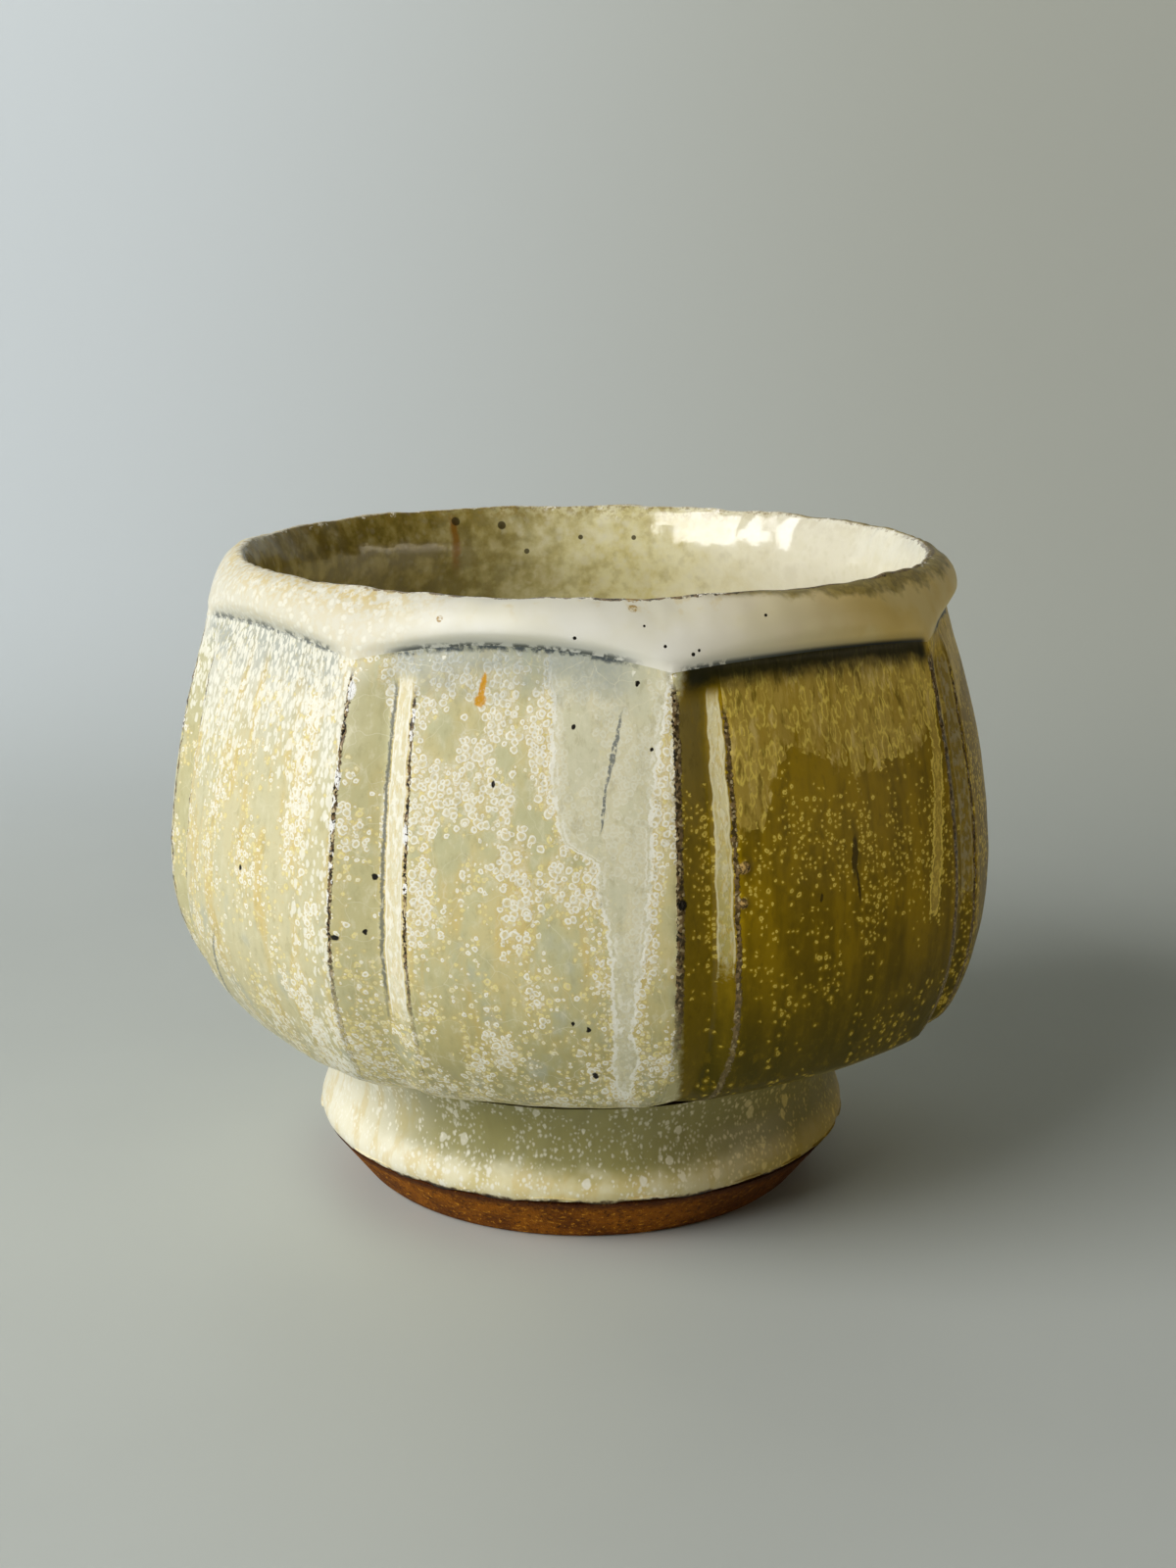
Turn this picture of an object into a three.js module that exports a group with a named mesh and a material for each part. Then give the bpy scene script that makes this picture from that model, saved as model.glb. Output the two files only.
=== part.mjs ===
// A hand-made stoneware tea bowl: a faceted body luted onto a turned foot, under four coats of glaze.
// Millimetres, +Z up, origin on the axis at the bottom of the foot. The front of the bowl faces -Y.
import * as THREE from 'three';
import { mergeVertices } from 'three/addons/utils/BufferGeometryUtils.js';

// Heights, stacked from the table up to the lip
const FOOT_HEIGHT = 20.0;
const SLIP_LAYER = 1.0;
const EDGE_RISE = 4.7;
const BELLY_RISE = 21.8;
const SHOULDER_RISE = 33.8;
const COLLAR_HEIGHT = 8.5;

// Radii of the body, over the glaze
const BELLY_R = 58.4;
const EDGE_R = 51.3;
const LIP_R = 46.5;
const COLLAR_SPREAD = 4.9;
const RIDGE_STAND = 1.1;

// Thicknesses
const WALL = 8.2;
const FLOOR = 7.5;
const GLAZE = 0.7;
const BOND_GAP = 0.1;
const COAT_SEAM = 0.3;

// How full the curves are
const BELLY_CURVE = 2.35;
const SHOULDER_CURVE = 1.7;
const INSIDE_CURVE = 3.0;
const INSIDE_BELLY_RISE = 5.0;

// The collar's nose: its height between crease and lip, and how flat its roll is, at a ridge and on a panel
const RIDGE_NOSE = 0.12;
const PANEL_NOSE = 0.3;
const RIDGE_ROLL = 1.5;
const PANEL_ROLL = 1.0;

// The cut facets, one from each ridge to the next. Angles run from the front towards +X.
const RIDGE_DEG = [-76, -32, 11.5, 56.5, 101, 146, 191.5, 238];
const CREASE_RISE = [1.3, 2.4, 0.8, 1.5, 1.2, 1.8, 1.0, 1.6];
const FLUTE_DEG = [9.0, 10.2, 7.4, 8.4, 9.2, 8.0, 9.6, 8.6];
const FLUTE_SPREAD_DEG = 1.4;
const GROOVE_SHARE = 0.62;
const LEAN_DEG = 4.0;
const LEAN_CURVE = 3.0;
const FLUTE_DEPTH = 2.0;
const RIB_DEPTH = 0.6;
const FLUTE_RUN_IN = 5.0;
const NECK_SAG = 2.1;
const BELLY_SAG = 0.6;
const EDGE_SAG = 0.8;

// The hand of the maker: a lip and a trimmed edge that are not quite level, and a lower wall off centre
const LIP_TILT_DEG = 0.5;
const EDGE_TILT_DEG = 2.2;
const LOWER_SHIFT = 2.2;
const EDGE_ROUND = 0.9;
const LIP_CROWN = 0.9;
const RIM_INSIDE = 2.0;
const MOUTH_FLARE = 1.8;

// The foot, over the glaze
const FOOT_BASE_R = 31.8;
const BEVEL_HEIGHT = 7.3;
const BEVEL_R = 37.5;
const BULGE_R = 38.1;
const BULGE_RISE = 2.4;
const NECK_R = 36.2;
const NECK_DROP = 4.0;
const FOOT_FILLET = 0.7;
const HOLLOW_R = 25.0;
const HOLLOW_TAPER = 2.0;

// How finely the skins are divided
const FLUTE_STEPS = 2;
const PANEL_STEPS = 5;
const WALL_ROWS = 8;
const RUN_IN_ROWS = 2;
const COLLAR_ROWS = 4;
const MOUTH_ROWS = 2;
const BOWL_ROWS = 5;
const FOOT_COLUMNS = 48;
const FOOT_CURVE_POINTS = 6;

// Levels and radii that follow from the sizes above
const LUTE_Z = FOOT_HEIGHT + SLIP_LAYER;
const EDGE_Z = LUTE_Z + EDGE_RISE;
const BELLY_Z = EDGE_Z + BELLY_RISE;
const CREASE_Z = BELLY_Z + SHOULDER_RISE;
const LIP_Z = CREASE_Z + COLLAR_HEIGHT;
const FLOOR_Z = LUTE_Z + FLOOR;
const INSIDE_BELLY_Z = BELLY_Z + INSIDE_BELLY_RISE;
const INSIDE_BELLY_R = BELLY_R - WALL;
const NOSE_R = LIP_R + COLLAR_SPREAD;
const SHOULDER_R = NOSE_R + RIDGE_STAND;
const THROAT_R = LIP_R - MOUTH_FLARE;
const FACET_STEPS = FLUTE_STEPS + 1 + PANEL_STEPS;

const FINISHES = {
  bowl_body: { color: 0x6b4226, roughness: 0.9, metalness: 0 },
  foot_ring: { color: 0x6b4226, roughness: 0.9, metalness: 0 },
  slip_joint: { color: 0x8a6848, roughness: 0.95, metalness: 0 },
  outer_glaze: { color: 0xb9b58a, roughness: 0.3, metalness: 0 },
  rim_glaze: { color: 0xe4dcc4, roughness: 0.3, metalness: 0 },
  liner_glaze: { color: 0xc9c199, roughness: 0.25, metalness: 0 },
  foot_glaze: { color: 0xcfc9a6, roughness: 0.35, metalness: 0 },
};

function lerp(from, to, share) {
  return from + (to - from) * share;
}

function radians(degrees) {
  return THREE.MathUtils.degToRad(degrees);
}

// Radius of the circle that the ridges stand on, at a height on the wall
function ridgeCircle(z) {
  if (z < BELLY_Z) {
    return BELLY_R - (BELLY_R - EDGE_R) * ((BELLY_Z - z) / BELLY_RISE) ** BELLY_CURVE;
  }
  return BELLY_R - (BELLY_R - SHOULDER_R) * ((z - BELLY_Z) / SHOULDER_RISE) ** SHOULDER_CURVE;
}

// Radius of the inside wall: it follows the shoulder's curve up to a throat at the crease, then flares
function insideCircle(z, mouthTop) {
  if (z > CREASE_Z) {
    return THROAT_R + MOUTH_FLARE * ((z - CREASE_Z) / (mouthTop - CREASE_Z)) ** 2;
  }
  const up = (z - INSIDE_BELLY_Z) / (CREASE_Z - INSIDE_BELLY_Z);
  return INSIDE_BELLY_R - (INSIDE_BELLY_R - THROAT_R) * up ** SHOULDER_CURVE;
}

// How far a panel's middle lies inside the ridges' circle, at a height on the wall
function panelSag(z) {
  const above = (z - BELLY_Z) / SHOULDER_RISE;
  const below = (BELLY_Z - z) / BELLY_RISE;
  return z > BELLY_Z ? lerp(BELLY_SAG, NECK_SAG, above ** 2) : lerp(BELLY_SAG, EDGE_SAG, below ** 2);
}

// The lower wall was trimmed off centre: its sideways shift grows from the belly down to the edge
function lowerShift(z) {
  const below = Math.max(0, (BELLY_Z - z) / BELLY_RISE);
  return LOWER_SHIFT * below ** 2;
}

// The cuts lean as they near the edge
function lean(z) {
  const below = Math.max(0, (BELLY_Z - z) / BELLY_RISE);
  return -LEAN_DEG * below ** LEAN_CURVE;
}

// A flute is wider at the edge, where share is 0, than at the crease, where share is 1
function fluteWidth(facet, share) {
  return FLUTE_DEG[facet] + FLUTE_SPREAD_DEG * (0.5 - share);
}

function facetPitch(facet) {
  const next = (facet + 1) % RIDGE_DEG.length;
  return THREE.MathUtils.euclideanModulo(RIDGE_DEG[next] - RIDGE_DEG[facet], 360);
}

// Degrees from a facet's ridge to one of its columns: down the flute, up to the rib, then along the panel
function columnDegrees(facet, step, fluteDeg) {
  if (step <= FLUTE_STEPS) {
    return GROOVE_SHARE * fluteDeg * step / FLUTE_STEPS;
  }
  const panelStep = step - FLUTE_STEPS - 1;
  return fluteDeg + (facetPitch(facet) - fluteDeg) * panelStep / PANEL_STEPS;
}

// Depth of the cut below the ridges' circle. Just under the crease the facet is one plain hollow; the flute
// and the rib run in below it.
function cutDepth(facet, along, fluteDeg, z, creaseZ) {
  const pitch = facetPitch(facet);
  const groove = GROOVE_SHARE * fluteDeg;
  const across = along / pitch;
  const plain = 4 * panelSag(z) * across * (1 - across);
  let carved = 0;
  if (along <= groove) {
    carved = FLUTE_DEPTH * along / groove;
  } else if (along <= fluteDeg) {
    carved = lerp(FLUTE_DEPTH, RIB_DEPTH, (along - groove) / (fluteDeg - groove));
  } else {
    const panel = (along - fluteDeg) / (pitch - fluteDeg);
    carved = RIB_DEPTH * (1 - panel) + 4 * panelSag(z) * panel * (1 - panel);
  }
  return lerp(plain, carved, THREE.MathUtils.smoothstep(creaseZ - z, 0, FLUTE_RUN_IN));
}

// One upright cut through the finished bowl, as rows that the three coats share out: from the foot out along
// the shelf and up the wall; over the collar to the lip; down the inside to the middle of the floor.
function meridian(facet, step) {
  const ridge = RIDGE_DEG[facet];
  const pitch = facetPitch(facet);
  const topAlong = columnDegrees(facet, step, fluteWidth(facet, 1));
  const edgeAlong = columnDegrees(facet, step, fluteWidth(facet, 0));
  const topAngle = radians(ridge + topAlong);
  const edgeAngle = radians(ridge + edgeAlong + lean(EDGE_Z));
  const creaseArch = 4 * (topAlong / pitch) * (1 - topAlong / pitch);
  const creaseZ = CREASE_Z + CREASE_RISE[facet] * creaseArch;
  const edgeZ = EDGE_Z + Math.tan(radians(EDGE_TILT_DEG)) * EDGE_R * Math.sin(edgeAngle);
  const lipZ = LIP_Z + Math.tan(radians(LIP_TILT_DEG)) * LIP_R * Math.sin(topAngle);

  const outer = [];
  const shelfR = NECK_R + FOOT_FILLET + BOND_GAP;
  outer.push({ r: shelfR, z: LUTE_Z, angle: edgeAngle, shift: 0 });
  const edgeCut = cutDepth(facet, edgeAlong, fluteWidth(facet, 0), edgeZ, creaseZ);
  const edgeR = ridgeCircle(edgeZ) - edgeCut - EDGE_ROUND;
  outer.push({ r: edgeR, z: edgeZ, angle: edgeAngle, shift: lowerShift(edgeZ) });
  const wallFoot = edgeZ + EDGE_ROUND;
  for (let row = 0; row <= WALL_ROWS + RUN_IN_ROWS; row += 1) {
    const z = row <= WALL_ROWS
      ? lerp(wallFoot, creaseZ - FLUTE_RUN_IN, row / WALL_ROWS)
      : lerp(creaseZ - FLUTE_RUN_IN, creaseZ, (row - WALL_ROWS) / RUN_IN_ROWS);
    const share = (z - wallFoot) / (creaseZ - wallFoot);
    const fluteDeg = fluteWidth(facet, share);
    const along = columnDegrees(facet, step, fluteDeg);
    const r = ridgeCircle(z) - cutDepth(facet, along, fluteDeg, z, creaseZ);
    outer.push({ r, z, angle: radians(ridge + along + lean(z)), shift: lowerShift(z) });
  }

  // The collar rolls out over the crease and leans in to the lip; at each ridge it is a plain slope
  const rim = [];
  const crease = outer[outer.length - 1];
  const noseR = NOSE_R + RIDGE_STAND * (1 - creaseArch) ** 2;
  const noseZ = lerp(creaseZ, lipZ, lerp(RIDGE_NOSE, PANEL_NOSE, creaseArch));
  const roll = lerp(RIDGE_ROLL, PANEL_ROLL, creaseArch);
  const seam = COAT_SEAM / Math.hypot(noseR - crease.r, noseZ - creaseZ);
  rim.push({ r: lerp(crease.r, noseR, seam), z: lerp(creaseZ, noseZ, seam), angle: topAngle, shift: 0 });
  for (let row = 0; row <= COLLAR_ROWS; row += 1) {
    const turn = radians(90) * row / COLLAR_ROWS;
    const r = lerp(LIP_R + LIP_CROWN, noseR, Math.cos(turn) ** roll);
    const z = lerp(noseZ, lipZ, Math.sin(turn) ** roll);
    rim.push({ r, z, angle: topAngle, shift: 0 });
  }
  // Over the lip's crown and a little way down inside, where the liner takes over
  const mouthTop = lipZ - LIP_CROWN;
  const mouthRow = (z) => ({ r: insideCircle(z, mouthTop), z, angle: topAngle, shift: 0 });
  rim.push(mouthRow(mouthTop), mouthRow(mouthTop - RIM_INSIDE));

  const inside = [];
  inside.push(mouthRow(mouthTop - RIM_INSIDE - COAT_SEAM));
  for (let row = 0; row < MOUTH_ROWS; row += 1) {
    inside.push(mouthRow(lerp(CREASE_Z, INSIDE_BELLY_Z, row / MOUTH_ROWS)));
  }
  for (let row = 0; row <= BOWL_ROWS; row += 1) {
    const turn = radians(90) * row / BOWL_ROWS;
    const r = row < BOWL_ROWS ? INSIDE_BELLY_R * Math.cos(turn) ** (2 / INSIDE_CURVE) : 0;
    const z = lerp(INSIDE_BELLY_Z, FLOOR_Z, Math.sin(turn) ** (2 / INSIDE_CURVE));
    inside.push({ r, z, angle: topAngle, shift: 0 });
  }
  return { outer, rim, inside };
}

// Moves an open outline square to itself, into the clay, with mitred corners. A row on the axis stays on it.
function sunk(rows, depth) {
  const normals = [];
  for (let i = 0; i + 1 < rows.length; i += 1) {
    const run = new THREE.Vector2(rows[i + 1].r - rows[i].r, rows[i + 1].z - rows[i].z).normalize();
    normals.push(new THREE.Vector2(-run.y, run.x));
  }
  return rows.map((row, i) => {
    const before = normals[Math.max(i - 1, 0)];
    const after = normals[Math.min(i, normals.length - 1)];
    const mitre = before.clone().add(after).multiplyScalar(depth / (1 + before.dot(after)));
    return { ...row, r: row.r > 0 ? row.r + mitre.x : 0, z: row.z + mitre.y };
  });
}

function placed(row) {
  return new THREE.Vector3(row.shift + row.r * Math.sin(row.angle), -row.r * Math.cos(row.angle), row.z);
}

// Skins a stack of rings, the last joined back to the first. From ring backFrom on, the rings run back along
// a layer underneath, and their quads take the other diagonal so that layers split alike.
function loft(rings, backFrom) {
  const columns = rings[0].length;
  const index = [];
  for (let ring = 0; ring < rings.length; ring += 1) {
    const above = (ring + 1) % rings.length;
    for (let column = 0; column < columns; column += 1) {
      const next = (column + 1) % columns;
      const a = ring * columns + column;
      const b = ring * columns + next;
      const c = above * columns + next;
      const d = above * columns + column;
      index.push(...(ring < backFrom ? [a, b, c, a, c, d] : [a, b, d, b, c, d]));
    }
  }
  const skin = new THREE.BufferGeometry().setFromPoints(rings.flat());
  skin.setIndex(index);
  return withoutSlivers(mergeVertices(skin));
}

// Drops the triangles that fold up to nothing where a ring closes on the axis
function withoutSlivers(geometry) {
  const old = geometry.index.array;
  const kept = [];
  for (let i = 0; i < old.length; i += 3) {
    const [a, b, c] = [old[i], old[i + 1], old[i + 2]];
    if (a !== b && b !== c && c !== a) {
      kept.push(a, b, c);
    }
  }
  geometry.setIndex(kept);
  geometry.computeVertexNormals();
  return geometry;
}

// All the upright cuts round the bowl, each with its finished outline, its glaze's underside and its clay
function allMeridians() {
  const cuts = [];
  for (let facet = 0; facet < RIDGE_DEG.length; facet += 1) {
    for (let step = 0; step < FACET_STEPS; step += 1) {
      const coats = meridian(facet, step);
      const outline = [...coats.outer, ...coats.rim, ...coats.inside];
      cuts.push({ coats, outline, under: sunk(outline, GLAZE), clay: sunk(outline, GLAZE + BOND_GAP) });
    }
  }
  return cuts;
}

function ringsOf(cuts, layer, from, to) {
  const rings = [];
  for (let row = from; row < to; row += 1) {
    rings.push(cuts.map((cut) => placed(cut[layer][row])));
  }
  return rings;
}

// A coat of glaze: the finished surface of its rows, and back along its underside
function coatGeometry(cuts, from, to) {
  const face = ringsOf(cuts, 'outline', from, to);
  const back = ringsOf(cuts, 'under', from, to).reverse();
  return loft([...face, ...back], face.length);
}

// The clay of the body: a flat seat for the foot, then the clay under every coat
function bodyGeometry(cuts) {
  const rows = cuts[0].clay.length;
  const seat = (r) => cuts.map((cut) => placed({ ...cut.clay[0], r, z: LUTE_Z }));
  return loft([seat(0), seat(NECK_R - FOOT_FILLET), ...ringsOf(cuts, 'clay', 0, rows)], Infinity);
}

// The glazed outside of the foot, from the bare bevel up over the bulge and in to the neck
function footCurve() {
  return new THREE.SplineCurve([
    new THREE.Vector2(BEVEL_R, BEVEL_HEIGHT),
    new THREE.Vector2(BULGE_R, BEVEL_HEIGHT + BULGE_RISE),
    new THREE.Vector2(NECK_R, FOOT_HEIGHT - NECK_DROP),
    new THREE.Vector2(NECK_R + FOOT_FILLET, FOOT_HEIGHT),
  ]).getPoints(FOOT_CURVE_POINTS);
}

// Turns a closed outline of radius and height about the axis, with +Z up
function turned(outline) {
  const lathe = new THREE.LatheGeometry([...outline, outline[0].clone()], FOOT_COLUMNS);
  lathe.rotateX(Math.PI / 2);
  lathe.deleteAttribute('normal');
  lathe.deleteAttribute('uv');
  return withoutSlivers(mergeVertices(lathe));
}

function asRows(points) {
  return points.map((point) => ({ r: point.x, z: point.y }));
}

function asPoints(rows) {
  return rows.map((row) => new THREE.Vector2(row.r, row.z));
}

function footRingGeometry() {
  const clay = asPoints(sunk(asRows(footCurve()), GLAZE + BOND_GAP));
  clay[clay.length - 1].y = FOOT_HEIGHT;
  return turned([
    new THREE.Vector2(HOLLOW_R, 0),
    new THREE.Vector2(FOOT_BASE_R, 0),
    new THREE.Vector2(BEVEL_R, BEVEL_HEIGHT - BOND_GAP),
    ...clay,
    new THREE.Vector2(HOLLOW_R - HOLLOW_TAPER, FOOT_HEIGHT),
  ]);
}

function footGlazeGeometry() {
  const face = footCurve();
  const back = asPoints(sunk(asRows(face), GLAZE));
  return turned([...face, ...back.reverse()]);
}

// The layer of slip that lutes the foot to the body
function slipGeometry() {
  const inner = HOLLOW_R - HOLLOW_TAPER;
  const outer = NECK_R - FOOT_FILLET;
  return turned([
    new THREE.Vector2(inner, FOOT_HEIGHT + BOND_GAP),
    new THREE.Vector2(outer, FOOT_HEIGHT + BOND_GAP),
    new THREE.Vector2(outer, LUTE_Z - BOND_GAP),
    new THREE.Vector2(inner, LUTE_Z - BOND_GAP),
  ]);
}

function addPiece(group, name, geometry) {
  const piece = new THREE.Mesh(geometry, new THREE.MeshStandardMaterial(FINISHES[name]));
  piece.name = name;
  group.add(piece);
}

function buildTeaBowl() {
  const bowl = new THREE.Group();
  const cuts = allMeridians();
  const rimStart = cuts[0].coats.outer.length;
  const insideStart = rimStart + cuts[0].coats.rim.length;
  const end = cuts[0].outline.length;
  addPiece(bowl, 'bowl_body', bodyGeometry(cuts));
  addPiece(bowl, 'foot_ring', footRingGeometry());
  addPiece(bowl, 'slip_joint', slipGeometry());
  addPiece(bowl, 'outer_glaze', coatGeometry(cuts, 0, rimStart));
  addPiece(bowl, 'rim_glaze', coatGeometry(cuts, rimStart, insideStart));
  addPiece(bowl, 'liner_glaze', coatGeometry(cuts, insideStart, end));
  addPiece(bowl, 'foot_glaze', footGlazeGeometry());
  return bowl;
}

export default buildTeaBowl();
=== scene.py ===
"""A faceted stoneware tea bowl: fine skins for its glazes and its bare foot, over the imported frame."""
import math

import bpy
import numpy as np
from mathutils import Matrix, Vector


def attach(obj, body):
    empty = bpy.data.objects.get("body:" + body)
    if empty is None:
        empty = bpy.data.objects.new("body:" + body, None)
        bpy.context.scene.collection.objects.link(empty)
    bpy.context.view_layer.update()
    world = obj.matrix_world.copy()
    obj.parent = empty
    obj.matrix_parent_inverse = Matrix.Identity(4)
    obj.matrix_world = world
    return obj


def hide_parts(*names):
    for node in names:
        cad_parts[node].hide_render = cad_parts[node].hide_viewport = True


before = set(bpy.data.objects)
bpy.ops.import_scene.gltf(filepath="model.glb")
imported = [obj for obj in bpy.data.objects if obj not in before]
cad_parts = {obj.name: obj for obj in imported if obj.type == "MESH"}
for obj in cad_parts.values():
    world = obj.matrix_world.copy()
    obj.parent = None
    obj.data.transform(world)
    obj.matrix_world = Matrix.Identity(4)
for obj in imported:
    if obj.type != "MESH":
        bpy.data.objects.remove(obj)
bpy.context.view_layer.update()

MM = 0.001

# The bowl's sizes in millimetres, as in the solids
FOOT_HEIGHT = 20.0
LUTE_Z = 21.0
EDGE_Z = 25.7
BELLY_Z = 47.5
CREASE_Z = 81.3
LIP_Z = 89.8
FLOOR_Z = 28.5
INSIDE_BELLY_Z = 52.5
BELLY_R = 58.4
EDGE_R = 51.3
SHOULDER_R = 52.5
NOSE_R = 51.4
LIP_R = 46.5
INSIDE_BELLY_R = 50.2
RIDGE_STAND = 1.1
GLAZE = 0.7
BELLY_CURVE = 2.35
SHOULDER_CURVE = 1.7
INSIDE_CURVE = 3.0
RIDGE_NOSE = 0.12
PANEL_NOSE = 0.3
RIDGE_ROLL = 1.5
PANEL_ROLL = 1.0
RIDGE_DEG = (-76.0, -32.0, 11.5, 56.5, 101.0, 146.0, 191.5, 238.0)
CREASE_RISE = (1.3, 2.4, 0.8, 1.5, 1.2, 1.8, 1.0, 1.6)
FLUTE_DEG = (9.0, 10.2, 7.4, 8.4, 9.2, 8.0, 9.6, 8.6)
FLUTE_SPREAD_DEG = 1.4
GROOVE_SHARE = 0.62
LEAN_DEG = 4.0
LEAN_CURVE = 3.0
FLUTE_DEPTH = 2.0
RIB_DEPTH = 0.6
FLUTE_RUN_IN = 5.0
NECK_SAG = 2.1
BELLY_SAG = 0.6
EDGE_SAG = 0.8
LIP_TILT_DEG = 0.5
EDGE_TILT_DEG = 2.2
LOWER_SHIFT = 2.2
EDGE_ROUND = 0.9
LIP_CROWN = 0.9
MOUTH_FLARE = 1.8
THROAT_R = LIP_R - MOUTH_FLARE
FOOT_BASE_R = 31.8
BEVEL_HEIGHT = 7.3
BEVEL_R = 37.5
BULGE_R = 38.1
BULGE_RISE = 2.4
NECK_R = 36.2
NECK_DROP = 4.0
FOOT_FILLET = 0.7
HOLLOW_R = 25.0
HOLLOW_TAPER = 2.0

# How finely the skins are divided
FLUTE_COLUMNS = 10
RIB_COLUMNS = 7
PANEL_COLUMNS = 45
SHELF_ROWS = 10
WALL_ROWS = 108
RUN_IN_ROWS = 22
COLLAR_UNDER_ROWS = 6
COLLAR_ROWS = 26
MOUTH_ROWS = 34
BOWL_ROWS = 30
FOOT_COLUMNS = 300
FOOT_ROWS = 44
SOFTEN_PASSES = 5
COLLAR_EASE_DEG = 2.2

# Small unevenness of the skins, in millimetres: depths, lengths of waves and widths of jagged crests
BROAD_WAVE = 13
BROAD_DEPTH = 0.07
BROAD_LIP_DEPTH = 0.1
CLOSE_WAVE = 4.5
CLOSE_DEPTH = 0.03
CLOSE_LIP_DEPTH = 0.07
LIP_WAVE_ROWS = 9.0
SKIN_DROP = 0.04
RIDGE_JAG_WIDTH = 0.55
RIB_JAG_WIDTH = 0.4
JAG_DEPTH = 0.11
BLISTER_STAND = 0.55

# The camera: its place in millimetres, its tilt, its roll and its lens
CAMERA_PLACE = (0.63, -301.7, 129.7)
CAMERA_DOWN_DEG = 13.89
CAMERA_ROLL_DEG = 0.44
LENS = 49.9

# The lamps: angle from the front, angle above the floor, distance, size in metres, watts and tint
KEY_LAMP = (-54, 32, 1.0, (0.8, 0.6), 10.2, (1.0, 1.0, 1.0))
FILL_LAMP = (72, 5, 1.2, (0.9, 0.3), 2.0, (1.0, 0.88, 0.66))
LAMP_AIM_Z = {"key": 0.05, "fill": 0.06}
ROOM_TINT = (1.0, 0.9, 0.74, 1.0)
ROOM_STRENGTH = 0.018

# The sweep of floor and backdrop, in metres
BEND_Y = 0.2
BEND_R = 0.35
SWEEP_FRONT = -1.2
SWEEP_TOP = 1.6
SWEEP_HALF = 1.8

# Marks on the wall: turn in degrees, height, half width, half height and slant
BLACK_SPECKS = ((12.0, 54.4, 0.7, 0.65), (0.8, 32.0, 0.32, 0.6), (-49.4, 53.0, 0.3, 0.4),
                (-26.4, 55.8, 0.4, 0.42),
                (-31.2, 47.8, 0.55, 0.35), (-27.4, 48.8, 0.3, 0.35), (0.6, 38.8, 0.25, 0.4),
                (-1.2, 39.6, 0.2, 0.3),
                (7.0, 80.0, 0.3, 0.3), (-1.2, 75.0, 0.25, 0.25), (8.6, 72.6, 0.26, 0.26),
                (-11.2, 68.2, 0.28, 0.4))
RUST_STREAKS = ((-13.5, 78.9, 0.42, 2.1, 0.1), (-13.6, 77.6, 0.75, 0.8))
GREY_STREAKS = ((3.9, 72.4, 0.32, 4.6, 0.22), (2.6, 66.0, 0.2, 3.2, 0.1), (-63.4, 33.8, 0.5, 9.5, 0.62))
DARK_STREAKS = ((36.2, 57.6, 0.5, 2.6, 0.1), (36.6, 54.0, 0.22, 2.4, -0.1), (30.6, 53.2, 0.25, 0.6))
# Painted highlights: white glints of the lamp on the glassy ridge and rib at the left
GLINTS = ((-31.6, 77.6, 0.6, 1.3), (-31.8, 67.2, 0.35, 0.9), (-32.2, 61.4, 0.4, 0.8),
          (-22.3, 73.2, 0.25, 0.8),
          (-22.2, 61.6, 0.4, 1.3))
BLISTERS = ((19.8, 58.2, 0.85, 0.8), (19.6, 54.0, 0.6, 0.75))

# Marks on the collar and inside the mouth: turn, height and radius
RIM_HOLES = ((10.8, 84.4, 0.2), (14.4, 83.2, 0.24), (15.2, 83.6, 0.18), (-1.6, 85.3, 0.22),
             (25.0, 87.3, 0.2), (8.4, 86.6, 0.16))
RIM_RUST = ((6.6, 89.3, 0.9), (6.9, 88.4, 0.6), (-19.8, 87.0, 0.45))
INSIDE_SPOTS = ((206.8, 87.5, 0.75), (197.2, 86.4, 0.7), (192.0, 82.5, 0.45), (180.5, 84.2, 0.4),
                (170.0, 85.0, 0.4))

# The smooth run on the front panel: heights, and the turns of its two sides
RUN_HEIGHTS = (28.0, 30.4, 34.6, 38.4, 42.8, 46.8, 51.0, 54.8, 59.5, 61.7, 66.8, 78.0, 83.0)
RUN_LEFT = (4.4, 3.3, 3.2, 3.6, 3.7, 3.6, 3.2, 2.2, 1.8, -2.4, -3.7, -4.0, -5.0)
RUN_RIGHT = (4.2, 5.1, 6.4, 5.8, 6.4, 7.2, 7.7, 8.1, 8.3, 8.4, 8.4, 10.5, 11.5)

# The veil on the right panel: how far it hangs below the crease at each turn, and the drip beside it
VEIL_TURNS = (19.0, 22.5, 25.0, 28.0, 33.0, 38.0, 44.0, 49.0, 53.0, 57.0)
VEIL_DROPS = (20.0, 20.0, 12.5, 10.5, 12.0, 15.0, 13.5, 13.0, 11.0, 6.0)
DRIP_HEIGHTS = (47.0, 51.4, 68.4, 80.0)
DRIP_TURNS = (50.8, 51.2, 54.0, 54.5)
DRIP_HALF = 0.95

# Crystals on the wall, small ones first: the layer's shift, cell size, least and greatest radius, strength
# and how strongly they gather
SMALL_CRYSTALS = ((83.0, 0.55, 0.07, 0.14, 0.7, 1.0), (0.0, 0.7, 0.1, 0.24, 0.9, 1.3),
                  (31.0, 1.05, 0.2, 0.42, 0.95, 1.8))
LARGE_CRYSTALS = ((67.0, 1.3, 0.32, 0.62, 1.0, 3.4), (13.0, 1.15, 0.26, 0.52, 1.0, 3.4))
DUST_THINNING = 0.06
OLIVE_PULL = 0.6

# White drops, loops of the veil and spots on the foot: shift, cell size, radii, and for the foot a density
WHITE_DROPS = ((17.0, 0.9, 0.2, 0.42), (41.0, 0.6, 0.12, 0.27))
VEIL_LOOPS = ((5.0, 1.5, 0.4, 0.75), (23.0, 1.0, 0.22, 0.5))
FOOT_SPOTS = ((0.0, 0.55, 0.08, 0.18, 0.58), (19.0, 0.85, 0.12, 0.28, 0.5), (47.0, 1.6, 0.3, 0.7, 0.4))

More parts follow.
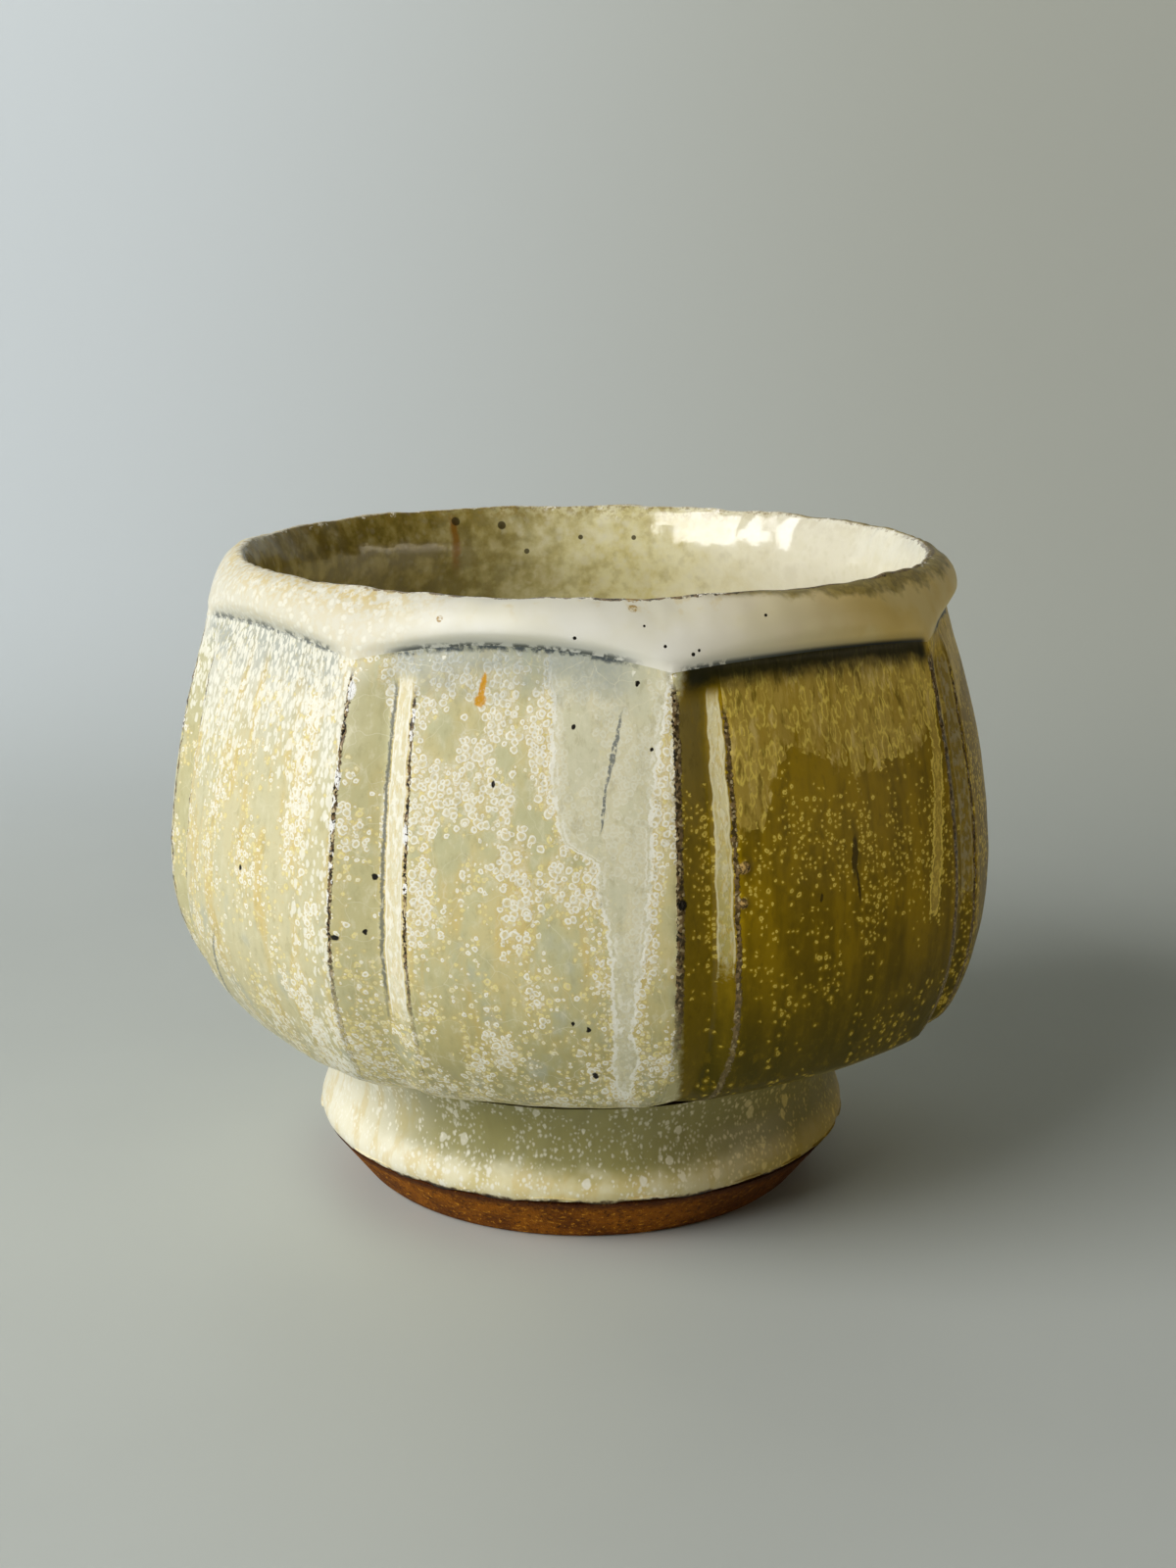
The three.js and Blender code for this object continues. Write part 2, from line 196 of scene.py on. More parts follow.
# How densely crystals and drops grow: heights in millimetres, then densities there
LARGE_AT_FRONT = ((26, 30, 36, 45, 52, 58, 64, 74, 80, 83), (.36, .3, .2, .2, .32, .48, .58, .6, .48, .25))
LARGE_AT_LEFT = 0.1
LARGE_AT_RIGHT = 0.06
LARGE_ELSEWHERE = 0.35
SMALL_GROWTH = ((26, 32, 45, 60, 80), (.54, .47, .42, .46, .42))
SMALL_IN_FLUTES = ((26, 40, 60, 80), (0.14, 0.06, -0.08, -0.12))
SMALL_AT_RIGHT = ((26, 34, 44, 60, 74), (.37, .35, .38, .46, .3))
DROPS_AT_LEFT = ((26, 32, 40, 58, 66, 72), (.5, .42, .25, .25, .42, .62))
DROPS_BELOW_CREASE = ((0, 1, 4, 8), (.1, .25, .15, -.4))
NO_DROPS = -0.5

def lerp(low, high, share):
    return low + (high - low) * share


def smooth(low, high, value):
    share = np.clip((value - low) / (high - low), 0, 1)
    return share * share * (3 - 2 * share)


def soft_min(a, b, reach):
    """The lesser of two heights, with the corner between them rounded."""
    return (a + b - np.sqrt((a - b) ** 2 + reach ** 2)) / 2


def waves(points, size, seed):
    """Smooth bumps about this many millimetres across, from about -1 to 1."""
    draw = np.random.default_rng(seed)
    total = np.zeros(points.shape[:-1])
    count = 7
    for _ in range(count):
        way = draw.normal(size=3)
        way *= math.tau * draw.uniform(0.6, 1.5) / (size * np.linalg.norm(way))
        total += np.sin(points @ way + draw.uniform(0, math.tau))
    return np.clip(total / math.sqrt(count), -1, 1)


# The shape of the wall, by the same rules as the solids

def ridge_circle(z):
    below = np.clip((BELLY_Z - z) / (BELLY_Z - EDGE_Z), 0, None)
    above = np.clip((z - BELLY_Z) / (CREASE_Z - BELLY_Z), 0, None)
    return (BELLY_R - (BELLY_R - EDGE_R) * below ** BELLY_CURVE
            - (BELLY_R - SHOULDER_R) * above ** SHOULDER_CURVE)


def panel_sag(z):
    below = np.clip((BELLY_Z - z) / (BELLY_Z - EDGE_Z), 0, None)
    above = np.clip((z - BELLY_Z) / (CREASE_Z - BELLY_Z), 0, None)
    return BELLY_SAG + (NECK_SAG - BELLY_SAG) * above ** 2 + (EDGE_SAG - BELLY_SAG) * below ** 2


def lower_shift(z):
    return LOWER_SHIFT * np.clip((BELLY_Z - z) / (BELLY_Z - EDGE_Z), 0, None) ** 2


def lean(z):
    return -LEAN_DEG * np.clip((BELLY_Z - z) / (BELLY_Z - EDGE_Z), 0, None) ** LEAN_CURVE


def inside_circle(z, mouth_top):
    up = np.clip((z - INSIDE_BELLY_Z) / (CREASE_Z - INSIDE_BELLY_Z), 0, 1)
    out = np.clip((z - CREASE_Z) / (mouth_top - CREASE_Z), 0, 1)
    return INSIDE_BELLY_R - (INSIDE_BELLY_R - THROAT_R) * up ** SHOULDER_CURVE + MOUTH_FLARE * out ** 2


UNROLL = math.radians(56)


def unrolled(turn, height):
    """A place on the wall laid flat: mm round the belly, and mm up along the wall."""
    heights = np.linspace(LUTE_Z, LIP_Z, 200)
    steps = np.hypot(np.diff(heights), np.diff(ridge_circle(heights)))
    lengths = np.concatenate([[0], np.cumsum(steps)])
    return turn * UNROLL, np.interp(height, heights, lengths)


class Columns:
    """The upright lines of the skins: each one's facet, and its place in the flute or on the panel."""

    def __init__(self):
        facet, zone, share = [], [], []
        for index in range(len(RIDGE_DEG)):
            for step in range(FLUTE_COLUMNS):
                facet.append(index)
                zone.append(0)
                share.append(step / FLUTE_COLUMNS)
            for step in range(RIB_COLUMNS):
                facet.append(index)
                zone.append(1)
                share.append(step / RIB_COLUMNS)
            for step in range(PANEL_COLUMNS):
                even = step / PANEL_COLUMNS
                crowded = even - 0.66 * math.sin(math.tau * even) / math.tau
                facet.append(index)
                zone.append(2)
                share.append(crowded)
        self.facet = np.array(facet)
        self.zone = np.array(zone)
        self.share = np.array(share)
        ridges = np.array(RIDGE_DEG)
        self.ridge = ridges[self.facet]
        self.pitch = np.mod(np.roll(ridges, -1) - ridges, 360)[self.facet]
        self.rise = np.array(CREASE_RISE)[self.facet]
        self.flute = np.array(FLUTE_DEG)[self.facet]
        self.count = len(self.facet)
        self.last = np.roll(self.facet, -1) != self.facet

    def flute_width(self, share):
        """Degrees across each flute, at this share of the way from the edge up to the crease."""
        return self.flute + FLUTE_SPREAD_DEG * (0.5 - share)

    def degrees(self, flute):
        """Degrees from each column's ridge, where the flute is this many degrees wide."""
        groove = GROOVE_SHARE * flute
        down = groove * self.share
        up = groove + (flute - groove) * self.share
        panel = flute + (self.pitch - flute) * self.share
        return np.where(self.zone == 0, down, np.where(self.zone == 1, up, panel))


def cut_depth(columns, along, flute, z, crease_z):
    """Depth below the ridges' circle: a plain hollow under the crease, running into flute, rib and panel."""
    across = along / columns.pitch
    sag = panel_sag(z)
    plain = 4 * sag * across * (1 - across)
    groove = GROOVE_SHARE * flute
    falling = FLUTE_DEPTH * along / groove
    rising = RIB_DEPTH + (FLUTE_DEPTH - RIB_DEPTH) * (flute - along) / (flute - groove)
    panel = (along - flute) / (columns.pitch - flute)
    face = RIB_DEPTH * (1 - panel) + 4 * sag * panel * (1 - panel)
    carved = soft_min(falling, -soft_min(-rising, -face, 0.06), 0.3)
    return lerp(plain, carved, smooth(0, FLUTE_RUN_IN, crease_z - z))


def eased(values, angle):
    """A row of values with its kinks rounded over a few degrees."""
    even = np.linspace(0, math.tau, 1440, endpoint=False)
    turned = np.mod(angle, math.tau)
    order = np.argsort(turned)
    line = np.interp(even, turned[order], values[order], period=math.tau)
    weight = np.exp(-(np.minimum(even, math.tau - even) / math.radians(COLLAR_EASE_DEG)) ** 2)
    spread = np.fft.irfft(np.fft.rfft(line) * np.fft.rfft(weight / weight.sum()), len(even))
    return np.interp(turned, even, spread, period=math.tau)


def bowl_rows(columns):
    """The finished surface, row by row: out along the shelf, up the wall, over the collar, down the inside.

    Gives the points in millimetres, and for every row of the wall its place on the facet."""
    top_flute = columns.flute_width(1)
    edge_flute = columns.flute_width(0)
    top_along = columns.degrees(top_flute)
    edge_along = columns.degrees(edge_flute)
    top_angle = np.radians(columns.ridge + top_along)
    edge_angle = np.radians(columns.ridge + edge_along + lean(EDGE_Z))
    arch = 4 * (top_along / columns.pitch) * (1 - top_along / columns.pitch)
    crease_z = CREASE_Z + columns.rise * arch
    edge_z = EDGE_Z + math.tan(math.radians(EDGE_TILT_DEG)) * EDGE_R * np.sin(edge_angle)
    lip_z = LIP_Z + math.tan(math.radians(LIP_TILT_DEG)) * LIP_R * np.sin(top_angle)
    still = np.zeros(columns.count)

    rows = []
    edge_cut = cut_depth(columns, edge_along, edge_flute, edge_z, crease_z)
    edge_r = ridge_circle(edge_z) - edge_cut - EDGE_ROUND
    shelf_r = NECK_R + FOOT_FILLET
    for step in range(SHELF_ROWS):
        share = step / SHELF_ROWS
        rows.append((lerp(shelf_r, edge_r, share), lerp(LUTE_Z, edge_z, share), edge_angle,
                     lower_shift(edge_z) * share, edge_along, edge_flute))
    wall_foot = edge_z + EDGE_ROUND
    for step in range(WALL_ROWS + RUN_IN_ROWS + 1):
        if step <= WALL_ROWS:
            z = lerp(wall_foot, crease_z - FLUTE_RUN_IN, step / WALL_ROWS)
        else:
            z = lerp(crease_z - FLUTE_RUN_IN, crease_z, (step - WALL_ROWS) / RUN_IN_ROWS)
        flute = columns.flute_width((z - wall_foot) / (crease_z - wall_foot))
        along = columns.degrees(flute)
        r = ridge_circle(z) - cut_depth(columns, along, flute, z, crease_z)
        rows.append((r, z, np.radians(columns.ridge + along + lean(z)), lower_shift(z), along, flute))
    crease_row = len(rows) - 1

    crease_r = rows[-1][0]
    nose_r = NOSE_R + RIDGE_STAND * (1 - arch) ** 2
    nose_z = lerp(crease_z, lip_z, lerp(RIDGE_NOSE, PANEL_NOSE, arch))
    roll = lerp(RIDGE_ROLL, PANEL_ROLL, arch)
    level = (top_angle, still, top_along, top_flute)
    for step in range(1, COLLAR_UNDER_ROWS):
        share = step / COLLAR_UNDER_ROWS
        rows.append((lerp(crease_r, nose_r, share), lerp(crease_z, nose_z, share), *level))
    for step in range(COLLAR_ROWS + 1):
        turn = math.pi / 2 * step / COLLAR_ROWS
        rows.append((lerp(LIP_R + LIP_CROWN, nose_r, max(math.cos(turn), 0) ** roll),
                     lerp(nose_z, lip_z, math.sin(turn) ** roll), *level))
    crown_row = len(rows) - 1
    mouth_top = lip_z - LIP_CROWN
    rim_end = len(rows) + 4
    for step in range(4):
        turn = math.pi / 2 * (step + 1) / 4
        rows.append((still + LIP_R + LIP_CROWN * (1 - math.sin(turn)),
                     mouth_top + LIP_CROWN * math.cos(turn), *level))
    for step in range(1, MOUTH_ROWS + 1):
        z = lerp(mouth_top, INSIDE_BELLY_Z + still, step / MOUTH_ROWS)
        rows.append((inside_circle(z, mouth_top), z, *level))
        rim_end += int(step <= 2)
    for step in range(1, BOWL_ROWS):
        turn = math.pi / 2 * step / BOWL_ROWS
        rows.append((still + INSIDE_BELLY_R * math.cos(turn) ** (2 / INSIDE_CURVE),
                     still + lerp(INSIDE_BELLY_Z, FLOOR_Z, math.sin(turn) ** (2 / INSIDE_CURVE)), *level))

    r, z, angle, shift, along, flute = (np.array([row[i] for row in rows]) for i in range(6))
    for _ in range(SOFTEN_PASSES):
        for outline in (r, z):
            outline[1:-1] = (outline[:-2] + 2 * outline[1:-1] + outline[2:]) / 4
    rounded = smooth(crease_row, crease_row + 5, np.arange(crown_row + 1))
    for at in range(crease_row + 1, crown_row + 1):
        for outline in (r, z):
            outline[at] = lerp(outline[at], eased(outline[at], angle[at]), rounded[at])
    points = np.stack([shift + r * np.sin(angle), -r * np.cos(angle), z], -1)
    return {"points": points, "r": r, "along": along, "flute": flute, "angle": angle,
            "crease_z": crease_z, "edge_z": edge_z, "lip_z": lip_z,
            "crease_row": crease_row, "crown_row": crown_row, "rim_end": rim_end}


def grid_normals(points):
    """Outward directions on a skin of rows by columns."""
    around = np.roll(points, -1, axis=1) - np.roll(points, 1, axis=1)
    up = np.gradient(points, axis=0)
    normal = np.cross(around, up)
    return normal / np.maximum(np.linalg.norm(normal, axis=-1, keepdims=True), 1e-12)


def skin_mesh(name, rings, face_rows, places=None, poles=None):
    """A closed mesh from rings of points, in millimetres. The first face_rows rings are the seen side.

    Without poles the last ring joins the first; with them, a point closes each end."""
    rows, count, _ = rings.shape
    vertices = rings.reshape(-1, 3)
    column = np.arange(count)
    after = np.roll(column, -1)
    faces = []
    spans = rows if poles is None else rows - 1
    for row in range(spans):
        low, high = row * count, (row + 1) % rows * count
        faces.append(np.stack([low + column, low + after, high + after, high + column], -1))
    quads = np.concatenate(faces)
    loops = [tuple(face) for face in quads.tolist()]
    if poles is not None:
        first, last = len(vertices), len(vertices) + 1
        vertices = np.concatenate([vertices, np.array(poles, float)])
        top = (rows - 1) * count
        loops += [(int(b), int(a), first) for a, b in zip(column, after)]
        loops += [(int(top + a), int(top + b), last) for a, b in zip(column, after)]
    mesh = bpy.data.meshes.new(name)
    mesh.from_pydata((vertices * MM).tolist(), [], loops)

    lengths = np.linalg.norm(np.diff(np.concatenate([rings, rings[:1]]), axis=0), axis=-1).mean(1)
    lengths[face_rows:] *= 0.05
    height = np.concatenate([[0], np.cumsum(lengths)]) / lengths.sum()
    row_of = np.repeat(np.arange(spans), count)
    left = np.tile(column, spans) / count
    right = left + 1 / count
    low, high = height[row_of], height[row_of + 1]
    corners = np.stack([np.stack([left, low], -1), np.stack([right, low], -1),
                        np.stack([right, high], -1), np.stack([left, high], -1)], 1).reshape(-1, 2)
    if poles is not None:
        fan = np.stack([(column + 1) / count, column / count, (column + 0.5) / count], -1)
        ends = np.stack([fan, np.zeros_like(fan)], -1).reshape(-1, 2)
        tops = np.stack([fan[:, [1, 0, 2]], np.full_like(fan, height[spans])], -1)
        corners = np.concatenate([corners, ends, tops.reshape(-1, 2)])
    mesh.uv_layers.new(name="OFBake").uv.foreach_set("vector", corners.astype(np.float32).ravel())

    for label, (here, there) in (places or {}).items():
        values = np.zeros((len(corners), 3), np.float32)
        shown = face_rows - 1
        cells = np.stack([here[:shown], there[:shown], there[1:shown + 1], here[1:shown + 1]], 2)
        values[:shown * count * 4] = cells.reshape(-1, 3)
        if poles is not None:
            fans = [np.stack([there[0], here[0], here[0]], 1), np.stack([here[-1], there[-1], here[-1]], 1)]
            values[shown * count * 4:] = np.concatenate(fans).reshape(-1, 3)
        attribute = mesh.attributes.new(label, "FLOAT_VECTOR", "CORNER")
        attribute.data.foreach_set("vector", values.ravel())
    mesh.update()
    mesh.shade_smooth()
    mesh.set_sharp_from_angle(angle=math.radians(62))
    piece = bpy.data.objects.new(name, mesh)
    bpy.context.scene.collection.objects.link(piece)
    return piece


def finish_piece(piece, material, slot, *nodes):
    piece.data.materials.append(material)
    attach(piece, "root")
    if nodes:
        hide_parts(*nodes)
    return piece


def colour(red, green, blue):
    """A colour from 8-bit screen values."""
    shares = [value / 255 for value in (red, green, blue)]
    linear = [s / 12.92 if s <= 0.04045 else ((s + 0.055) / 1.055) ** 2.4 for s in shares]
    return (*linear, 1.0)


class Value:
    """What a node puts out. Sums, differences and products of values add the nodes for them."""

    def __init__(self, graph, socket):
        self.graph = graph
        self.socket = socket

    def __add__(self, other):
        return self.graph.math("ADD", self, other)

    def __sub__(self, other):
        return self.graph.math("SUBTRACT", self, other)

    def __rsub__(self, other):
        return self.graph.math("SUBTRACT", other, self)

    def __mul__(self, other):
        return self.graph.math("MULTIPLY", self, other)


class Graph:
    """A material and short calls that add nodes to it. The materials below each call theirs g."""

    def __init__(self, name):
        self.material = bpy.data.materials.new(name)
        self.material.use_nodes = True
        self.tree = self.material.node_tree
        self.tree.nodes.clear()
        self.shader = self.add("ShaderNodeBsdfPrincipled")
        output = self.add("ShaderNodeOutputMaterial")
        self.tree.links.new(self.shader.outputs["BSDF"], output.inputs["Surface"])
        place = self.add("ShaderNodeTexCoord").outputs["Object"]
        self.place = self.scaled(place, 1000.0, 1000.0, 1000.0)

    def add(self, kind, **settings):
        node = self.tree.nodes.new(kind)
        for key, value in settings.items():
            setattr(node, key, value)
        return node

    def put(self, socket, value):
        if isinstance(value, Value):
            self.tree.links.new(value.socket, socket)
        elif isinstance(value, bpy.types.NodeSocket):
            self.tree.links.new(value, socket)
        else:
            socket.default_value = value

    def math(self, operation, a, b=0.0):
        node = self.add("ShaderNodeMath", operation=operation)
        self.put(node.inputs[0], a)
        self.put(node.inputs[1], b)
        return Value(self, node.outputs[0])

    def vector(self, operation, a, b=(0.0, 0.0, 0.0)):
        node = self.add("ShaderNodeVectorMath", operation=operation)
        self.put(node.inputs[0], a)
        self.put(node.inputs[1], b)
        return Value(self, node.outputs["Value" if operation in ("LENGTH", "DISTANCE") else "Vector"])

    def scaled(self, vector, x, y, z=0.0):
        return self.vector("MULTIPLY", vector, (x, y, z))

    def chain(self, operation, values):
        total = values[0]
        for value in values[1:]:
            total = self.math(operation, total, value)
        return total

    def plus(self, *values):
        return self.chain("ADD", values)

    def times(self, *values):
        return self.chain("MULTIPLY", values)

    def most(self, *values):
        return self.chain("MAXIMUM", values)

    def less(self, a, b):
        return self.math("SUBTRACT", a, b)

    def size(self, value):
        return self.math("ABSOLUTE", value)

    def step(self, value, low, high):
        """0 at low and 1 at high, with soft ends. Low may be the greater."""
        node = self.add("ShaderNodeMapRange", interpolation_type="SMOOTHSTEP")
        flip = low > high
        span = (value, min(low, high), max(low, high), float(flip), float(not flip))
        for socket, number in zip(node.inputs, span):
            self.put(socket, number)
        return Value(self, node.outputs[0])

    def band(self, value, low, high, soft):
        """1 between low and high."""
        return self.times(self.step(value, low - soft, low), self.step(value, high + soft, high))

    def mix(self, share, a, b):
        node = self.add("ShaderNodeMix", data_type="RGBA")
        self.put(node.inputs[0], share)
        self.put(node.inputs[6], a)
        self.put(node.inputs[7], b)
        return Value(self, node.outputs[2])

    def paint(self, base, tone, *shares):
        """The base with a tone laid over it, by the product of the shares."""
        return self.mix(self.times(*shares), base, tone)

    def noise(self, size, detail=2.0, rough=0.5, place=None):
        node = self.add("ShaderNodeTexNoise")
        self.put(node.inputs["Vector"], place or self.place)
        node.inputs["Scale"].default_value = 1 / size
        node.inputs["Detail"].default_value = detail
        node.inputs["Roughness"].default_value = rough
        return Value(self, node.outputs["Fac"])

    def shaken(self, place, size, reach):
        """The place, moved about by up to half of the reach."""
        node = self.add("ShaderNodeTexNoise")
        self.put(node.inputs["Vector"], place)
        node.inputs["Scale"].default_value = 1 / size
        offset = self.vector("SUBTRACT", node.outputs["Color"], (0.5, 0.5, 0.5))
        return self.vector("ADD", place, self.scaled(offset, reach, reach, reach))

    def cells(self, size, place, flat=False, feature="F1"):
        node = self.add("ShaderNodeTexVoronoi", feature=feature, voronoi_dimensions="2D" if flat else "3D")
        self.put(node.inputs["Vector"], place)
        node.inputs["Scale"].default_value = 1 / size
        return node

    def split(self, vector):
        node = self.add("ShaderNodeSeparateXYZ")
        self.put(node.inputs[0], vector)
        return [Value(self, output) for output in node.outputs]

    def join(self, x, y, z=0.0):
        node = self.add("ShaderNodeCombineXYZ")
        for socket, value in zip(node.inputs, (x, y, z)):
            self.put(socket, value)
        return Value(self, node.outputs[0])

    def attribute(self, name):
        return self.split(self.add("ShaderNodeAttribute", attribute_name=name).outputs["Vector"])

    def gathered(self, place, flat):
        """A slow drift, drawn out upwards: crystals gather where it is high."""
        stretched = self.scaled(place, 1.0, 0.45 if flat else 1.0, 0.0 if flat else 0.45)
        return self.noise(4.5, 2, 0.5, stretched)

    def crystals(self, place, flat, size, least, most, density, shift=0.0, shrink=1.0, pull=1.8):
        """Round crystals in a layer of their own, which the drift pulls together.

        Gives how far inside a crystal's edge a place lies, in mm and as a share of its radius, and a lot."""
        moved = (shift, shift, shift)
        node = self.cells(size, self.vector("ADD", place, moved), flat)
        draw = self.split(node.outputs["Color"])
        centre = self.vector("SUBTRACT", node.outputs["Position"], moved)
        slow = self.less(self.gathered(centre, flat), 0.5)
        lot = self.plus(self.times(slow, pull), self.times(draw[0], 0.5), self.times(density, 1.6))
        missing = self.math("LESS_THAN", lot, 1.05)
        radius = self.times(self.plus(self.times(draw[1], most - least), least), shrink)
        inside = self.less(radius, self.times(node.outputs["Distance"], size))
        inside = self.less(inside, self.times(missing, 9.0))
        return inside, self.math("DIVIDE", inside, radius), draw[2]

    def spot(self, flow, turn, height, wide, tall, slant=0.0):
        """A mark on the unrolled wall, by its turn in degrees, its height and its half sizes in mm."""
        u, v = unrolled(turn, height)
        x, y, _ = self.split(self.vector("SUBTRACT", flow, (u, v, 0.0)))
        if slant:
            x = self.less(x, self.times(y, slant))
        reach = self.vector("LENGTH", self.join(self.times(x, 1 / wide), self.times(y, 1 / tall)))
        return self.step(reach, 1.15, 0.75)

    def marks(self, flow, places):
        return self.most(*(self.spot(flow, *place) for place in places))

    def dots(self, places):
        """Round marks at points of the bowl, by their place and radius in mm."""
        shares = []
        for x, y, z, radius in places:
            reach = self.vector("DISTANCE", self.place, (x, y, z))
            shares.append(self.step(reach, 1.1 * radius, 0.8 * radius))
        return self.most(*shares)

    def finish(self, base, rough, height=None, depth=0.1):
        self.put(self.shader.inputs["Base Color"], base)
        self.put(self.shader.inputs["Roughness"], rough)
        if height is not None:
            bump = self.add("ShaderNodeBump")
            bump.inputs["Distance"].default_value = depth * MM
            self.put(bump.inputs["Height"], height)
            self.put(self.shader.inputs["Normal"], bump.outputs["Normal"])
        return self.material


BLACK = colour(26, 22, 15)
BURNT = colour(82, 66, 42)
BROWN = colour(132, 108, 74)
BLUE_GREY = colour(100, 104, 97)
SMOKE = colour(158, 165, 158)
WHITE = colour(250, 247, 230)
CREAM = colour(232, 226, 196)
OCHRE = colour(221, 196, 122)
RUST = colour(220, 156, 8)
CELADON = colour(203, 199, 154)
STRAW = colour(217, 204, 148)
PALE = colour(219, 211, 172)
MOSS = colour(176, 166, 104)
AMBER = colour(158, 128, 8)
OLIVE = colour(122, 99, 6)
DEEP = colour(72, 66, 16)
TAN = colour(200, 168, 56)
GOLD = colour(186, 152, 18)
SAND = colour(240, 214, 98)
CREASE_SHADOW = colour(18, 24, 14)


def outer_glaze_material():
    g = Graph("glaze_outer")
    along, following, flute = g.attribute("cut_place")
    below, above, turn = g.attribute("wall_place")
    across, up, veil = g.attribute("flow_place")
    big, small, dash = g.attribute("grow_place")
    crease, crease_soft, run = g.attribute("edge_place")
    flow = g.join(across, up)
    loose = g.shaken(flow, 0.9, 0.6)
    carved = g.step(below, 2.0, 5.0)

    # The ground: grey-green at the front, paler at the left, amber and olive at the right, partly the
    # glaze's own tone and partly painted shade on the side away from the lamp, darkest low down
    patch = g.noise(6.0, 3, 0.55, g.scaled(flow, 1.0, 0.6))
    stain = g.noise(3.0, 3, 0.55, g.scaled(flow, 1.0, 0.14))
    fine = g.noise(0.45, 2, 0.6, flow)
    ragged = g.noise(0.8, 3, 0.6, flow) - 0.5
    sway = g.noise(2.8, 2, 0.5, flow) - 0.5
    gather = g.gathered(flow, True)
    side = turn + ragged * 1.6 - g.step(below, 5.0, 0.5) * 1.2
    olive_and_shade = g.step(side, 10.8, 12.4) * g.step(turn, 150, 105)
    left = g.step(turn, -26, -36)
    low = g.step(above, 26, 3)
    base = g.mix(g.step(patch, 0.40, 0.64), CELADON, STRAW)
    base = g.paint(base, PALE, left, 0.7)
    base = g.paint(base, colour(220, 221, 214), left, g.step(below + stain * 14.0, 26, 8), 0.65)
    base = g.paint(base, OCHRE, g.step(stain, 0.48, 0.62), g.step(gather, 0.36, 0.55), 0.75)
    base = g.paint(base, MOSS, low, stain * 0.5 - left * 0.3 + 0.45)
    base = g.paint(base, SMOKE, g.step(above, 10, 1), g.step(patch, 0.45, 0.6), 0.4)
    base = g.paint(base, colour(186, 190, 176), g.step(above, 34, 20), g.step(patch, 0.46, 0.34), 0.5)
    shade_side = g.mix(g.step(stain + patch * 0.5, 0.6, 0.9), AMBER, OLIVE)
    shade_side = g.paint(shade_side, DEEP, low, 0.85)
    base = g.mix(olive_and_shade, base, shade_side)

    # Flutes hold a thinner, darker glaze, darker still at the right, where it is partly painted shade, and
    # greyer at the top of those at the right
    groove_off = along - flute * GROOVE_SHARE
    riser_off = along - flute
    thin = g.mix(olive_and_shade, colour(198, 191, 142), colour(124, 104, 12))
    base = g.paint(base, thin, g.step(groove_off, 0.4, -0.6), carved, 0.75)
    top_grey = olive_and_shade * carved * g.step(below + stain * 12.0, 28, 8)
    base = g.paint(base, colour(146, 130, 74), g.step(groove_off, 0.4, -0.6), top_grey, 0.55)

    # Pale crusts, and ring crystals from the small ones to the large
    pale = g.mix(olive_and_shade, WHITE, SAND)
    body = g.mix(olive_and_shade, CREAM, TAN)
    warm = g.mix(olive_and_shade, OCHRE, GOLD)
    crust = g.step(gather * 2.0 + big, 1.36, 1.75)
    crust = crust * (1.0 - olive_and_shade)
    lace = g.step(g.size(g.noise(0.9, 2, 0.6, loose) - 0.5), 0.07, 0.02)
    base = g.paint(base, CREAM, crust, fine * 0.8)
    base = g.paint(base, WHITE, crust, lace, 0.6)
    shrink = 1.0 - olive_and_shade * 0.25
    raised = []
    densities = (small - DUST_THINNING, small, small, big, big)
    yellow = g.mix(olive_and_shade, colour(238, 224, 150), SAND)
    shown = 1.0 - olive_and_shade * low * 0.5
    for (shift, size, least, most, share, pull), density in zip(SMALL_CRYSTALS + LARGE_CRYSTALS, densities):
        pulled = pull - olive_and_shade * (pull - OLIVE_PULL)
        inside, deep, lot = g.crystals(loose, True, size, least, most, density, shift, shrink, pulled)
        tint = g.mix(g.step(lot, 0.35, 0.75), pale, yellow) if most < 0.5 else pale
        base = g.paint(base, warm, g.step(inside, -0.5, 0.0), 0.3)
        base = g.paint(base, body, g.step(inside, -0.05, 0.06), 0.55 * share - olive_and_shade * (0.3 * share))
        base = g.paint(base, tint, g.band(inside, 0.02, 0.15, 0.08), shown, 0.95 * share)
        base = g.paint(base, warm, g.step(deep, 0.6, 0.8), 0.45 * share)
        raised.append(g.step(inside, -0.1, 0.15))

    # The smooth run at the front and the drip at the right, with lacy edges
    edge = run + ragged * 1.3 + sway * 1.6
    covered = g.step(edge, -0.12, 0.2)
    smooth_tone = g.mix(stain, colour(204, 202, 172), colour(238, 232, 202))
    veil_tone = g.mix(olive_and_shade, smooth_tone, g.mix(stain, colour(176, 146, 50), colour(214, 184, 92)))
    base = g.paint(base, veil_tone, covered, fine * 0.5 + 0.5)
    cloth = g.noise(1.3, 4, 0.65, g.scaled(flow, 1.0, 0.55))
    base = g.paint(base, g.mix(olive_and_shade, colour(236, 230, 200), colour(150, 124, 22)),
                   g.step(cloth, 0.52, 0.68), 0.34)
    base = g.paint(base, g.mix(olive_and_shade, colour(166, 156, 106), colour(84, 70, 8)), g.step(cloth, 0.48, 0.32),
                   0.3)
    broken = g.step(g.noise(1.5, 3, 0.6, flow), 0.36, 0.5)
    base = g.paint(base, pale, g.band(edge, -0.05, 0.22, 0.15), broken, 0.9)
    base = g.paint(base, pale, g.band(edge, 0.75, 0.9, 0.15), g.step(sway, -0.02, 0.1), 0.6)

    # Blue-grey mist below the front crease, then white drops drawn down by the flow
    mist = g.step(below + sway * 6.0, 7.5, 0.8) * crease * (1.0 - olive_and_shade)
    base = g.paint(base, SMOKE, mist, fine * 0.5 + 0.45)
    tall = g.scaled(loose, 1.0, 0.5)
    for shift, size, least, most in WHITE_DROPS:
        inside = g.crystals(tall, True, size, least, most, dash, shift, 1.0, 1.3)[0]
        base = g.paint(base, pale, g.step(inside, -0.05, 0.06), 0.7)

